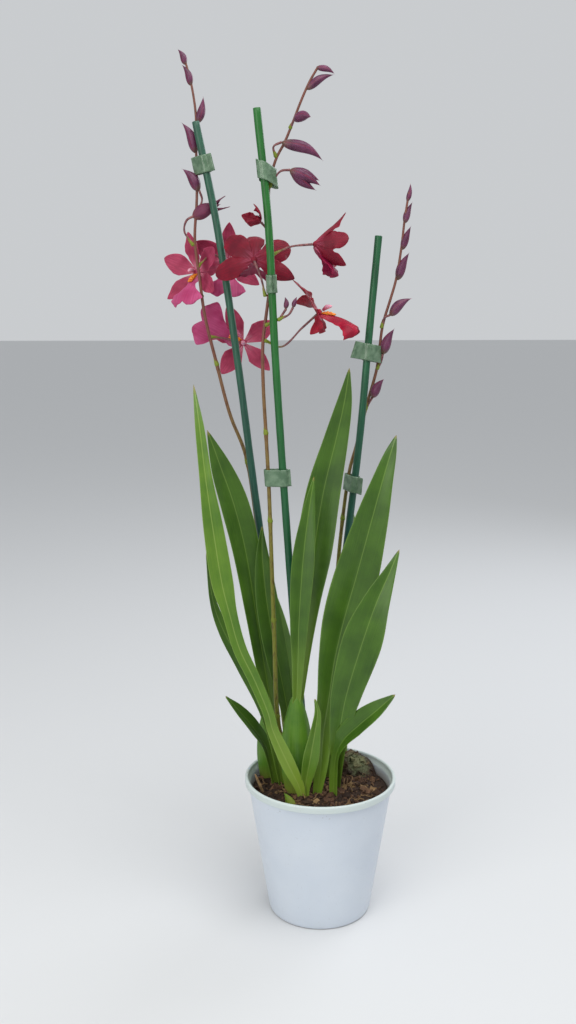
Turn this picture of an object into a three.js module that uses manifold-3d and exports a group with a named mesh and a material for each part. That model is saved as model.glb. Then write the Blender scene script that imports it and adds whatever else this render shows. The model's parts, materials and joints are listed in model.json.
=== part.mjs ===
// A potted burrageara orchid in flower: one plant in a round plastic pot, with three flower
// stems tied to three canes. Millimetres, +Z up, +X to the right and +Y to the back.
// The origin is the middle of the pot's flat underside.

import * as THREE from 'three';
import { mergeVertices } from 'three/addons/utils/BufferGeometryUtils.js';
import Module from 'manifold-3d';

// Driving dimensions
const POT_HEIGHT = 112;
const RIM_RADIUS = 60;
const RIM_BAND = 5.6;
const SHOULDER_RADIUS = 57.2;
const FOOT_RADIUS = 40.5;
const POT_WALL = 1.5;
const MIX_HEIGHT = 103;
const CANE_RADIUS = 2.9;
const LEAF_THICKNESS = 1.1;
const PETAL_THICKNESS = 0.8;
const STEM_FOOT_RADIUS = 2;
const STEM_TIP_RADIUS = 1;
const STALK_RADIUS = 0.75;
const TAPE_WIDTH = 13;
const TAPE_THICKNESS = 0.7;
const TAPE_SLACK = 0.6;
const SEPAL = { length: 31, width: 13 };
const PETAL = { length: 30, width: 15.5 };
const LIP = { length: 36, width: 32 };
const GAP = 0.3;

const wasm = await Module();
wasm.setup();

const point = (x, y, z) => new THREE.Vector3(x, y, z);
const points = (rows) => rows.map(([x, y, z]) => point(x, y, z));
const degrees = (angle) => THREE.MathUtils.degToRad(angle);
const curveThrough = (rows) => new THREE.CatmullRomCurve3(points(rows), false, 'centripetal');
const evenCurve = (corners) => new THREE.CatmullRomCurve3(corners, false, 'catmullrom', 0.5);
const curveOfWidths = (widths) => evenCurve(widths.map((width) => point(width, 0, 0)));

// A closed solid from a geometry: only positions are kept, and shared corners become one.
function solidOf(geometry) {
  geometry.deleteAttribute('normal');
  geometry.deleteAttribute('uv');
  const closed = mergeVertices(geometry, 1e-4);
  return new wasm.Manifold(new wasm.Mesh({
    numProp: 3,
    vertProperties: new Float32Array(closed.attributes.position.array),
    triVerts: new Uint32Array(closed.index.array),
  }));
}

function geometryFrom(corners, triangles) {
  const geometry = new THREE.BufferGeometry();
  const numbers = corners.flatMap((p) => [p.x, p.y, p.z]);
  geometry.setAttribute('position', new THREE.Float32BufferAttribute(numbers, 3));
  geometry.setIndex(triangles);
  return geometry;
}

const fuse = (solids) => solids.reduce((whole, solid) => whole.add(solid));

// A round rod along a curve, with a radius for each place along it. Both ends close on a point.
function rod(curve, radiusAt, sides, steps, grow = 0) {
  const frames = curve.computeFrenetFrames(steps);
  const corners = [];
  const triangles = [];
  for (let step = 0; step <= steps; step += 1) {
    const centre = curve.getPointAt(step / steps);
    const radius = radiusAt(step / steps) + grow;
    if (step === 0) centre.addScaledVector(frames.tangents[0], -grow);
    if (step === steps) centre.addScaledVector(frames.tangents[steps], grow);
    for (let side = 0; side < sides; side += 1) {
      const angle = (2 * Math.PI * side) / sides;
      corners.push(centre.clone()
        .addScaledVector(frames.normals[step], radius * Math.cos(angle))
        .addScaledVector(frames.binormals[step], radius * Math.sin(angle)));
    }
  }
  const start = corners.push(curve.getPointAt(0).addScaledVector(frames.tangents[0], -grow)) - 1;
  const end = corners.push(curve.getPointAt(1).addScaledVector(frames.tangents[steps], grow)) - 1;
  for (let side = 0; side < sides; side += 1) {
    const next = (side + 1) % sides;
    for (let step = 0; step < steps; step += 1) {
      const [a, b] = [step * sides + side, step * sides + next];
      triangles.push(a, b, b + sides, a, b + sides, a + sides);
    }
    triangles.push(start, next, side, end, steps * sides + side, steps * sides + next);
  }
  return solidOf(geometryFrom(corners, triangles));
}

// A thin blade. surface(t, x) is its middle face, t from foot to tip and x in mm off the midrib.
// Both faces are split into triangles alike, so that they stay parallel where the blade waves.
function blade({ surface, halfWidth, steps, across, thickness }, grow = 0) {
  const corners = [];
  const triangles = [];
  const row = across + 1;
  const face = row * (steps + 1);
  for (const side of [1, -1]) {
    for (let step = 0; step <= steps; step += 1) {
      const t = step / steps;
      const reach = halfWidth(t) + grow;
      for (let column = 0; column <= across; column += 1) {
        const x = reach * ((2 * column) / across - 1);
        const along = surface(t + 0.002, x).sub(surface(t - 0.002, x));
        const over = surface(t, x + 0.05).sub(surface(t, x - 0.05));
        const normal = over.cross(along).normalize();
        corners.push(surface(t, x).addScaledVector(normal, side * (thickness / 2 + grow)));
      }
    }
  }
  const quad = (a, b, c, d) => triangles.push(a, b, c, a, c, d);
  for (let step = 0; step < steps; step += 1) {
    for (let column = 0; column < across; column += 1) {
      const [a, b, c, d] = [0, 1, row + 1, row].map((shift) => step * row + column + shift);
      triangles.push(a, b, c, a, c, d);
      triangles.push(face + a, face + c, face + b, face + a, face + d, face + c);
    }
    const [left, right] = [step * row, step * row + across];
    quad(left, left + row, face + left + row, face + left);
    quad(right, face + right, face + right + row, right + row);
  }
  for (let column = 0; column < across; column += 1) {
    const tip = steps * row + column;
    quad(column, face + column, face + column + 1, column + 1);
    quad(tip, tip + 1, face + tip + 1, face + tip);
  }
  return solidOf(geometryFrom(corners, triangles));
}

// Everything placed so far. A new piece gives way to the pieces before it, by the gap.
const group = new THREE.Group();
const placed = [];

function largestPiece(solid) {
  return solid.decompose().reduce((best, piece) => (piece.volume() > best.volume() ? piece : best));
}

const boxOf = (solid) => {
  const { min, max } = solid.boundingBox();
  return new THREE.Box3(point(...min), point(...max));
};

function place(name, finish, build, parent = group) {
  let solid = build(0);
  const box = boxOf(solid);
  for (const other of placed) {
    if (box.intersectsBox(other.box)) solid = solid.subtract(other.room);
  }
  show(name, finish, solid, parent);
  const room = build(GAP);
  placed.push({ room, box: boxOf(room) });
}

function show(name, finish, solid, parent = group) {
  const body = largestPiece(solid);
  const { vertProperties, triVerts } = body.getMesh();
  const geometry = new THREE.BufferGeometry();
  geometry.setAttribute('position', new THREE.BufferAttribute(new Float32Array(vertProperties), 3));
  geometry.setIndex(new THREE.BufferAttribute(new Uint32Array(triVerts), 1));
  geometry.computeVertexNormals();
  const mesh = new THREE.Mesh(geometry, finish);
  mesh.name = name;
  parent.add(mesh);
}

const finish = (color, roughness) => new THREE.MeshStandardMaterial({ color, roughness, metalness: 0 });
const POT_PLASTIC = finish('#d3dade', 0.4);
const BARK = finish('#5a4436', 0.95);
const GREEN_CANE = finish('#1f7a2e', 0.5);
const DARK_CANE = finish('#155236', 0.5);
const TAPE = finish('#8ba58b', 0.35);
const LEAF = finish('#40691c', 0.5);
const YOUNG_LEAF = finish('#6f8f2c', 0.5);
const BULB = finish('#4d7428', 0.45);
const STEM = finish('#6a4a34', 0.6);
const CRIMSON = finish('#9a1430', 0.55);
const CREST = finish('#e0801c', 0.5);
const COLUMN = finish('#c9909a', 0.5);
const BUD = finish('#6d3350', 0.55);

// Pot: one thin tapered wall with a band round the rim and eight drainage holes in the floor.
const POT_SEGMENTS = 24;
const DRAIN_HOLES = 8;
const DRAIN_RADIUS = 4;
const DRAIN_CIRCLE = 27;
const POT_FLOOR = 2;
const SHOULDER = POT_HEIGHT - RIM_BAND;
const WALL_SLOPE = (SHOULDER_RADIUS - FOOT_RADIUS) / SHOULDER;
const potRadius = (z) => FOOT_RADIUS + WALL_SLOPE * z;

const lathe = (rows) => solidOf(new THREE.LatheGeometry(
  rows.map(([r, z]) => new THREE.Vector2(r, z)), POT_SEGMENTS).rotateX(Math.PI / 2));

function pot() {
  let body = lathe([
    [0, 0], [FOOT_RADIUS - 2, 0], [FOOT_RADIUS, 2], [SHOULDER_RADIUS, SHOULDER],
    [RIM_RADIUS - 0.6, SHOULDER], [RIM_RADIUS, SHOULDER + 0.8], [RIM_RADIUS, POT_HEIGHT - 1.4],
    [RIM_RADIUS - 1.2, POT_HEIGHT], [RIM_RADIUS - 2.6, POT_HEIGHT], [SHOULDER_RADIUS - POT_WALL, SHOULDER],
    [potRadius(POT_FLOOR) - POT_WALL - 0.5, POT_FLOOR], [0, POT_FLOOR],
  ]);
  for (let hole = 0; hole < DRAIN_HOLES; hole += 1) {
    const angle = (2 * Math.PI * (hole + 0.5)) / DRAIN_HOLES;
    const drill = new THREE.CylinderGeometry(DRAIN_RADIUS, DRAIN_RADIUS, 10, 7).rotateX(Math.PI / 2)
      .translate(DRAIN_CIRCLE * Math.cos(angle), DRAIN_CIRCLE * Math.sin(angle), 0);
    body = body.subtract(solidOf(drill));
  }
  return body;
}
show('pot', POT_PLASTIC, pot());

// Canes: plain round rods that stand in the mix and lean with the flower stems.
const CANES = {
  centre: [[-10, 13, 26], [-11, 12, 119], [-22, 9, 253], [-35, 4, 443], [-40, 2, 540], [-48, 0, 619]],
  right: [[-3, 29, 26], [3, 30, 101], [23, 34, 291], [33, 36, 380], [39, 38, 453], [46, 40, 533]],
  left: [[-12, 32, 26], [-20, 34, 104], [-37, 38, 235], [-52, 42, 350], [-63, 44, 439], [-78, 48, 542],
    [-93, 50, 617]],
};
const CANE_SIDES = 9;
const CANE_STEPS = 6;
const caneFinish = { centre: GREEN_CANE, right: DARK_CANE, left: DARK_CANE };
const canes = new THREE.Group();
group.add(canes);
for (const [name, route] of Object.entries(CANES)) {
  const cane = (grow) => rod(curveThrough(route), () => CANE_RADIUS, CANE_SIDES, CANE_STEPS, grow);
  place(`cane_${name}`, caneFinish[name], cane, canes);
}

// Flower stems: each is one stem with a sheathing bract at each joint, and on it the stalks that
// carry the blooms and the buds. A bud's path is its stalk, which ends at the bud's base.
const STEM_SIDES = 5;
const BUD_SIDES = 5;
const STALK_SIDES = 4;
const BRACT_LENGTH = 9;
const STALK_WRAP = 6;

function bud(base, tip, width, grow) {
  const middle = base.clone().lerp(tip, 0.5);
  const swell = (t) => Math.max(0.35, (width / 2) * Math.sin(Math.PI * Math.min(1, t ** 0.8 + 0.04)) ** 0.8);
  return rod(new THREE.CatmullRomCurve3([base, middle, tip]), swell, BUD_SIDES, 4, grow);
}

// A bract wraps the stem just above a joint and ends in a point.
function bract(stem, joint, radius, grow) {
  const [from, next] = [stem.getPointAt(joint), stem.getPointAt(joint + 0.02)];
  const tip = from.clone().addScaledVector(next.sub(from).normalize(), BRACT_LENGTH);
  return rod(new THREE.LineCurve3(from, tip), (t) => radius * (1 - 0.7 * t), STALK_SIDES, 1, grow);
}

// A stalk is thick at its foot, where its own small bract wraps it.
function stalk(route, grow) {
  const curve = curveThrough(route);
  const wrap = (t) => Math.max(0, 1 - (t * curve.getLength()) / STALK_WRAP);
  return rod(curve, (t) => STALK_RADIUS * (1 + 0.9 * wrap(t)), STALK_SIDES, 2 * route.length - 1, grow);
}

function flowerStem({ route, joints, stalks, buds }, grow) {
  const stem = curveThrough(route);
  const radiusAt = (t) => STEM_FOOT_RADIUS + (STEM_TIP_RADIUS - STEM_FOOT_RADIUS) * t;
  const parts = [rod(stem, radiusAt, STEM_SIDES, 15, grow)];
  for (const joint of joints) parts.push(bract(stem, joint, radiusAt(joint) + 0.9, grow));
  for (const path of stalks) parts.push(stalk(path, grow));
  for (const { path, tip, width } of buds) {
    if (path.length > 1) parts.push(stalk(path, grow));
    parts.push(bud(point(...path.at(-1)), point(...tip), width, grow));
  }
  return fuse(parts);
}

const STEMS = {
  centre: {
    route: [
      [-21, 8, 90], [-31, 8, 141], [-34, 8, 160], [-36, 8, 223], [-38, 8, 284], [-40, 8, 344], [-42, 8, 384],
      [-44, 8, 423], [-44, 9, 453], [-41, 10, 477], [-38, 10, 500], [-37, 9, 521], [-39, 8, 545],
      [-39, 7, 566], [-34, 6, 585], [-28, 6, 596], [-22, 6, 610], [-16, 6, 625], [-10, 6, 638], [-4, 6, 648],
    ],
    joints: [0.12, 0.26, 0.4, 0.52],
    stalks: [
      [[-42, 10, 487], [-45, 12, 500], [-50, 16.5, 513]],
      [[-37, 9, 517], [-24, 10, 523], [-7, 10, 525]],
      [[-43, 9, 455], [-30, 12, 450], [-14, 17, 464], [-2.5, 20, 474]],
      [[-39, 8, 535], [-42, 6, 537], [-45, 4, 540]],
    ],
    buds: [
      { path: [[-39, 7, 565], [-31, 4, 576], [-24, 4, 577]], tip: [-3, 4, 566], width: 9 },
      { path: [[-34, 6, 586], [-36, 3, 593], [-30, 2, 596]], tip: [0, 2, 583], width: 8.5 },
      { path: [[-24, 6, 606], [-21, 2, 612]], tip: [-10, -12, 611], width: 7.5 },
      { path: [[-12, 6, 633]], tip: [8, 6, 643], width: 6 },
      { path: [[-5, 6, 648]], tip: [8, 4, 643], width: 4.5 },
      { path: [[-42, 9, 466], [-33, 4, 470], [-27, 2, 478]], tip: [-28, 2, 487], width: 4 },
      { path: [[-33, 4, 470], [-25, 1, 474], [-22, 1, 479]], tip: [-19, 1, 487], width: 3.5 },
    ],
  },
  right: {
    route: [
      [-6, 36, 90], [6, 38, 162], [14, 40, 235], [19, 42, 297], [26, 43, 352], [31, 44, 370], [40, 45, 406],
      [47, 46, 432], [51, 46, 465], [57, 46, 486], [61, 47, 500], [65, 48, 525], [67, 48, 545], [70, 48, 566],
    ],
    joints: [0.14, 0.3, 0.46, 0.6, 0.74],
    stalks: [],
    buds: [
      { path: [[69, 48, 559]], tip: [71, 48, 573], width: 4 },
      { path: [[67, 48, 543]], tip: [73, 48, 559], width: 5.5 },
      { path: [[65.5, 48, 523]], tip: [72, 46, 541], width: 6 },
      { path: [[62, 47, 500]], tip: [71, 45, 521], width: 7.5 },
      { path: [[50, 46, 463], [52, 44, 471], [56, 43, 473]], tip: [73, 41, 486], width: 8 },
      { path: [[47, 46, 431], [50, 44, 437], [51, 43, 443]], tip: [60, 42, 463], width: 8 },
      { path: [[38, 45, 399], [41, 43, 405], [43, 42, 409]], tip: [52, 39, 424], width: 7.5 },
    ],
  },
  left: {
    route: [
      [-21, 40, 90], [-29, 43, 160], [-37, 45, 233], [-47, 47, 296], [-57, 49, 363], [-69, 51, 395],
      [-80, 54, 438], [-88, 55, 472], [-92, 55, 503], [-95, 55, 530], [-93, 55, 562], [-93, 56, 600],
      [-93, 57, 624], [-96, 57, 645], [-101, 57, 664],
    ],
    joints: [0.14, 0.3, 0.46, 0.6],
    stalks: [
      [[-90, 55, 487], [-91, 62, 492], [-92.5, 70, 503]],
      [[-93, 55, 510], [-82, 68, 520], [-72, 81, 515]],
      [[-84, 55, 456], [-74, 62, 455], [-61, 68, 451.5]],
      [[-96, 55, 526], [-103, 54, 537], [-101, 54, 545], [-96, 55, 548]],
    ],
    buds: [
      { path: [[-94, 55, 550], [-89, 54, 560], [-91, 53, 567]], tip: [-104, 53, 583], width: 8.5 },
      { path: [[-93, 56, 595]], tip: [-104, 54, 617], width: 8 },
      { path: [[-93, 57, 610], [-91, 56, 617]], tip: [-87, 55, 636], width: 6.5 },
      { path: [[-96, 57, 644]], tip: [-103, 57, 659], width: 5.5 },
      { path: [[-100, 57, 659]], tip: [-106, 57, 670], width: 5 },
    ],
  },
};
const stems = new THREE.Group();
group.add(stems);
for (const [name, stem] of Object.entries(STEMS)) {
  place(`flower_stem_${name}`, STEM, (grow) => flowerStem(stem, grow), stems);
}

// Tie bands: a loop of thin tape round a cane and its flower stem, with its two ends pressed
// together into a short flat tail.
const BANDS = {
  centre_low: { on: 'centre', height: 351, tail: 2 },
  centre_middle: { on: 'centre', height: 496, tail: 2 },
  centre_top: { on: 'centre', height: 577, tail: 2 },
  right_low: { on: 'right', height: 341, tail: 6 },
  right_high: { on: 'right', height: 445, tail: 12 },
  left_top: { on: 'left', height: 586, tail: 5 },
};

function atHeight(curve, height) {
  let [low, high] = [0, 1];
  while (high - low > 1e-5) {
    const middle = (low + high) / 2;
    if (curve.getPointAt(middle).z < height) low = middle;
    else high = middle;
  }
  return low;
}

function loopOutline(reach, offset, Kind) {
  const [big, small] = [CANE_RADIUS + offset, STEM_FOOT_RADIUS + offset];
  const lean = Math.acos((big - small) / reach);
  const outline = new Kind();
  outline.absarc(0, 0, big, lean, 2 * Math.PI - lean, false);
  outline.absarc(reach, 0, small, -lean, lean, false);
  outline.closePath();
  return outline;
}

function tieBand({ on, height, tail }) {
  const cane = curveThrough(CANES[on]);
  const stem = curveThrough(STEMS[on].route);
  const place = atHeight(cane, height);
  const centre = cane.getPointAt(place);
  const axis = cane.getTangentAt(place);
  const across = stem.getPointAt(atHeight(stem, height)).sub(centre);
  across.addScaledVector(axis, -across.dot(axis));
  const loop = loopOutline(across.length(), TAPE_SLACK + TAPE_THICKNESS, THREE.Shape);
  loop.holes.push(loopOutline(across.length(), TAPE_SLACK, THREE.Path));
  const ring = new THREE.ExtrudeGeometry(loop, { depth: TAPE_WIDTH, bevelEnabled: false, curveSegments: 2 });
  const start = CANE_RADIUS + TAPE_SLACK + TAPE_THICKNESS / 2;
  const flat = new THREE.BoxGeometry(tail, 2 * TAPE_THICKNESS, TAPE_WIDTH)
    .translate(-start - tail / 2, 0, TAPE_WIDTH / 2);
  const right = across.clone().normalize();
  const back = axis.clone().cross(right);
  const turn = new THREE.Matrix4().makeBasis(right, back, axis).setPosition(centre);
  turn.multiply(new THREE.Matrix4().makeTranslation(0, 0, -TAPE_WIDTH / 2));
  return fuse([ring, flat].map((piece) => solidOf(piece.applyMatrix4(turn))));
}
const bands = new THREE.Group();
group.add(bands);
for (const [name, band] of Object.entries(BANDS)) {
  place(`tie_band_${name}`, TAPE, () => tieBand(band), bands);
}

// Pseudobulbs: flattened egg-shaped swellings at the foot of each growth.
const BULBS = {
  front: { foot: [-19, -12, 97], top: [-20, -12, 183], half: [12.5, 7.5] },
  right: { foot: [9, 14, 95], top: [10, 14, 168], half: [11, 7.5] },
  left: { foot: [-40, 22, 94], top: [-42, 22, 160], half: [9, 6.5] },
};

function pseudobulb({ foot, top, half: [wide, deep] }, grow) {
  const length = top[2] - foot[2];
  const swell = (t) => Math.sin(Math.PI * (0.16 + 0.8 * t)) ** 0.7;
  const ball = rod(curveThrough([[0, 0, 0], [0, 0, length]]), swell, 10, 8, 0);
  const lean = point(...top).sub(point(...foot)).divideScalar(length);
  return ball.scale([wide + grow, deep + grow, (length + 2 * grow) / length])
    .warp((p) => {
      p[2] += foot[2] - grow;
      p[0] += foot[0] + lean.x * (p[2] - foot[2]);
      p[1] += foot[1] + lean.y * (p[2] - foot[2]);
    });
}
const growths = new THREE.Group();
group.add(growths);
for (const [name, bulb] of Object.entries(BULBS)) {
  place(`pseudobulb_${name}`, BULB, (grow) => pseudobulb(bulb, grow), growths);
}

// Leaves: strap blades folded along the midrib. A spine row is x, y, z and half width, fold is
// how far each half rises off flat, in degrees at the foot and at the tip, and face is the way
// that the upper side looks.
const LEAVES = {
  centre_back: {
    spine: [[-19, -8, 173, 5], [-14, -4, 217, 7], [-10, 3, 255, 11], [-5, 7, 294, 15], [2, 9, 339, 14],
      [11, 7, 379, 10], [17, 3, 409, 6], [20, -2, 435, 0.5]],
    fold: [40, 14], face: [-0.1, -1, 0.1],
  },
  centre_front: {
    spine: [[-20, -14.5, 174, 4.2], [-19, -16, 211, 5.5], [-18, -14, 245, 8], [-15, -10, 288, 9.5],
      [-11, -6, 322, 6], [-6, -1, 353, 0.5]],
    fold: [38, 20], face: [0, -1, 0.1],
  },
  tall_right: {
    spine: [[-4, -16, 98, 3.5], [-1, -21, 130, 6.5], [1, -22, 158, 8], [5, -21.5, 186, 10],
      [9, -20, 214, 13], [16, -20, 246, 17], [25, -22, 281, 17.5], [35, -26, 323, 13], [43, -26, 354, 8],
      [49, -22, 373, 4.5], [54, -16, 386, 0.5]],
    fold: [40, 12], face: [-0.15, -1, 0.2],
  },
  low_right: {
    spine: [[12, -8, 97, 3.5], [12, -19, 128, 5.5], [12, -29, 152, 7.5], [14, -34, 175, 10],
      [18, -38, 198, 13], [28, -44, 237, 16], [37, -45, 265, 11], [47, -41, 287, 5], [55, -34, 303, 0.5]],
    fold: [40, 16], face: [-0.25, -1, 0.25],
  },
  short_right: {
    spine: [[10, -18, 97, 4], [10, -24, 132, 5], [15, -35, 154, 8.5], [26, -44, 170, 10.5], [38, -51, 184, 8],
      [51, -55, 198, 0.6]],
    fold: [40, 24], face: [-0.4, -0.7, 0.7],
  },
  sheath_left: {
    spine: [[-16, -22, 99, 2.6], [-18.5, -24.5, 113, 4.4], [-28.5, -28, 136, 6], [-39, -31, 162, 4.8],
      [-43, -33, 178, 4.8], [-53, -34, 204, 5.2], [-64, -35, 229, 5.5], [-71, -34, 255, 6],
      [-77, -32, 281, 9],
      [-83, -28, 321, 8], [-88, -22, 358, 5], [-92, -14, 394, 3.5], [-96, -2, 423, 0.5]],
    fold: [25, 20], face: [0.25, -1, 0.1],
  },
  sheath_right: {
    spine: [[-12.5, -20.5, 99, 2.6], [-13.5, -22, 112, 4.2], [-10, -27, 138, 7.2], [-7, -29, 158, 5.2],
      [-5, -30, 175, 3], [-7, -30.5, 187, 0.5]],
    fold: [30, 30], face: [0.1, -1, 0.15],
  },
  low_left: {
    spine: [[-30, 2, 97, 3.5], [-37, 0, 139, 6], [-46, -4, 172, 7.5], [-62, -9, 208, 8], [-76, -13, 236, 5.5],
      [-84, -17, 262, 3], [-88, -20, 300, 0.5]],
    fold: [35, 20], face: [0.4, -0.8, 0.4],
  },
  short_left: {
    spine: [[-36, 6, 97, 3.5], [-43, 6, 131, 6], [-54, 0, 152, 7], [-65, -6, 169, 5], [-75, -11, 183, 0.6]],
    fold: [35, 20], face: [0.5, -0.6, 0.6],
  },
  tall_left: {
    spine: [[-30, 27, 95, 4], [-36, 28, 144, 6], [-43, 30, 190, 8.5], [-50, 33, 236, 10], [-58, 34, 288, 12],
      [-67, 33, 326, 12], [-77, 31, 356, 8.5], [-87, 26, 386, 0.5]],
    fold: [38, 14], face: [0.25, -1, 0.1],
  },
  middle_left: {
    spine: [[-20, 21, 95, 4], [-22, 22, 136, 5], [-27, 23, 169, 7], [-33, 24, 200, 9.5], [-39, 25, 232, 10],
      [-43, 25, 262, 8.5], [-45, 23, 289, 5], [-45, 20, 311, 0.5]],
    fold: [38, 14], face: [0.1, -1, 0.1],
  },
  back_right: {
    spine: [[20, 30, 97, 4], [24, 46, 160, 8], [27, 56, 215, 12], [30, 64, 262, 10], [32, 76, 296, 5],
      [33, 86, 312, 0.5]],
    fold: [38, 16], face: [0, 1, 0.4],
  },
  back_left: {
    spine: [[-8, 44, 97, 4], [-16, 56, 150, 8], [-30, 70, 205, 12], [-44, 84, 250, 9], [-52, 94, 276, 4],
      [-56, 101, 288, 0.5]],
    fold: [38, 16], face: [-0.3, 1, 0.4],
  },
};

function leaf({ spine, fold, face }, grow) {
  const curve = evenCurve(points(spine));
  const widths = curveOfWidths(spine.map((row) => row[3]));
  const upper = point(...face).normalize();
  const surface = (t, x) => {
    const inside = THREE.MathUtils.clamp(t, 0, 1);
    const tangent = curve.getTangent(inside);
    const side = tangent.clone().cross(upper).normalize();
    const normal = side.clone().cross(tangent).normalize();
    const rise = degrees(fold[0] + (fold[1] - fold[0]) * Math.sqrt(inside));
    return curve.getPoint(inside)
      .addScaledVector(tangent, (t - inside) * curve.getLength())
      .addScaledVector(side, x * Math.cos(rise))
      .addScaledVector(normal, Math.hypot(x, 1) * Math.sin(rise));
  };
  return blade({
    surface,
    halfWidth: (t) => Math.max(0.5, widths.getPoint(t).x),
    steps: spine.length,
    across: 4,
    thickness: LEAF_THICKNESS,
  }, grow);
}
// The plain round hole in the mix that a leaf's foot stands in.
function leafHole({ spine: [foot, next] }) {
  const top = (POT_HEIGHT + 8 - foot[2]) / (next[2] - foot[2]);
  const [from, to] = points([foot, next]);
  const radius = foot[3] + top * (next[3] - foot[3]) + LEAF_THICKNESS;
  return rod(new THREE.LineCurve3(from, from.clone().lerp(to, top)), () => radius, 7, 1, GAP);
}

const foliage = new THREE.Group();
group.add(foliage);
const holes = placed.map(({ room }) => room);
for (const [name, shape] of Object.entries(LEAVES)) {
  place(`leaf_${name}`, name.startsWith('sheath') ? YOUNG_LEAF : LEAF, (grow) => leaf(shape, grow), foliage);
  if (shape.spine[0][2] < MIX_HEIGHT) holes.push(leafHole(shape));
}

// New shoot: a small pointed shoot that breaks through the mix in front.
const SHOOT = { foot: [-23, -33, 94], tip: [-31, -36, 114], width: 8 };
const shoot = (grow) => bud(point(...SHOOT.foot), point(...SHOOT.tip), SHOOT.width, grow);
place('new_shoot', YOUNG_LEAF, shoot, foliage);
holes.push(shoot(GAP));

// Blooms: five tepals round a broad two-lobed lip. Each tepal has its angle round the bloom from
// the top, its curl, which is how much it bends forward from foot to tip, how blunt its end is,
// how far its tip flicks back, and its size. Lean is how far a tepal or the lip tips forward where
// it starts, and droop is how far the lip's sides hang.
const TEPALS = [SEPAL, PETAL, PETAL, SEPAL, SEPAL];
const BLOOMS = {
  centre_left: {
    centre: [-50, 18, 514], facing: [0.05, 1, -0.12], up: [0.09, 0, 1], lean: 8, size: 1.05,
    tepals: [[4, 84, 1, 0, 1], [54, 50, 1, 0, 1.05], [-60, 42, 1, 0, 1.05], [112, 46, 0.8, 0, 1.1],
      [-108, 12, 0.2, 0, 1]],
    lip: { lean: 84, curl: -14, size: 0.85, droop: 4 },
  },
  centre_right: {
    centre: [-5, 10, 525], facing: [0.97, 0.2, -0.12], up: [0.12, 0, 1], lean: 37, size: 0.94,
    tepals: [[0, 16, 0, 3, 1.08], [62, 34, 0.8, 0, 1], [-66, 34, 1, 0, 0.92], [132, 30, 0.3, 0, 1],
      [-136, 34, 0.4, 0, 0.95]],
    lip: { lean: 54, curl: -8, size: 0.8, droop: 7 },
  },
  centre_low: {
    centre: [-1, 20, 475], facing: [0.86, -0.25, 0.46], up: [-0.5, 0.1, 0.86], lean: -6,
    tepals: [[0, -14, 0, 0, 1], [50, -60, 0, 0, 1], [-62, 24, 0.7, 0, 0.75], [122, -40, 0, 0, 0.85],
      [-122, -40, 0.2, 0, 0.75]],
    lip: { lean: 64, curl: -46, droop: 11 },
  },
  left_outer: {
    centre: [-94, 72, 506], facing: [-0.62, -0.75, 0.1], up: [-0.15, 0, 1], lean: 8,
    tepals: [[0, 20, 0.2, 0, 1], [62, 20, 0.5, 0, 1], [-62, 20, 0.5, 0, 1], [128, 20, 0.2, 0, 1],
      [-128, 20, 0.2, 0, 1]],
    lip: { lean: 55, curl: -35, droop: 4 },
  },
  left_upper: {
    centre: [-70, 84, 514], facing: [0, -1, 0.05], up: [0.06, 0, 1], lean: 8,
    tepals: [[0, 18, 0, 0, 1], [62, 18, 0.3, 0, 1], [-62, 18, 0.3, 0, 1], [122, 18, 0, 0, 1],
      [-108, 18, 0.2, 0, 1]],
    lip: { lean: 58, curl: -40, droop: 4 },
  },
  left_lower: {
    centre: [-58, 70, 451], facing: [-0.1, -1, 0.1], up: [0.7, 0, -0.72], lean: 8,
    tepals: [[0, 14, 0, 0, 1], [78, 14, 0.2, 0, 1], [-78, 14, 0.2, 0, 1], [158, 14, 0.3, 0, 1],
      [-158, 14, 0.3, 0, 1]],
    lip: { angle: 162, lean: 24, curl: -12, size: 1.2, droop: 4 },
  },
};
const BLOOM_THROAT = 1.4;
const LIP_WIDTHS = [0.22, 0.4, 0.3, 0.5, 0.86, 1, 0.74];
const LIP_NOTCH = 0.16;
const LIP_CORNER = 0.2;

function bloomFrame({ centre, facing, up }) {
  const front = point(...facing).normalize();
  const top = point(...up).addScaledVector(front, -point(...up).dot(front)).normalize();
  return { centre: point(...centre), front, top, right: top.clone().cross(front) };
}

// The middle face of a tepal or lip: it leaves the bloom's centre at an angle, leans and curls.
function bentFace(frame, angle, length, lean, curl, shape) {
  const radial = frame.top.clone().multiplyScalar(Math.cos(degrees(angle)))
    .addScaledVector(frame.right, Math.sin(degrees(angle)));
  const side = radial.clone().cross(frame.front);
  const [first, turn] = [degrees(lean), degrees(curl)];
  return (t, x) => {
    const { reach, rise, aside = x } = shape(t, x);
    const bend = first + turn * reach;
    const out = (length * (Math.sin(bend) - Math.sin(first))) / turn;
    const forward = (length * (Math.cos(first) - Math.cos(bend))) / turn;
    return frame.centre.clone()
      .addScaledVector(radial, BLOOM_THROAT + out - rise * Math.sin(bend))
      .addScaledVector(frame.front, forward + rise * Math.cos(bend))
      .addScaledVector(side, aside);
  };
}

function tepal(frame, { angle, length, width, lean, curl, blunt = 0, flick = 0 }, grow) {
  const widest = 0.42 + 0.2 * blunt;
  const share = (t) => THREE.MathUtils.clamp((t - widest) / (1 - widest), 0, 1);
  const taper = (t) => Math.cos((Math.PI / 2) * share(t)) ** (0.8 - 0.3 * blunt);
  const halfWidth = (t) => 0.5 + (width / 2) * Math.min(0.1 + 2 * Math.max(0, t), taper(t));
  const surface = bentFace(frame, angle, length, lean, curl, (t, x) => {
    const edge = Math.abs(x) / (width / 2);
    const wave = edge ** 2 * (1.6 + 0.8 * Math.sin(14 * t + angle + Math.sign(x)));
    return { reach: t, rise: wave - flick * THREE.MathUtils.clamp((t - 0.55) / 0.45, 0, 1) ** 2 };
  });
  return blade({ surface, halfWidth, steps: 4, across: 2, thickness: PETAL_THICKNESS }, grow);
}

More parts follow.
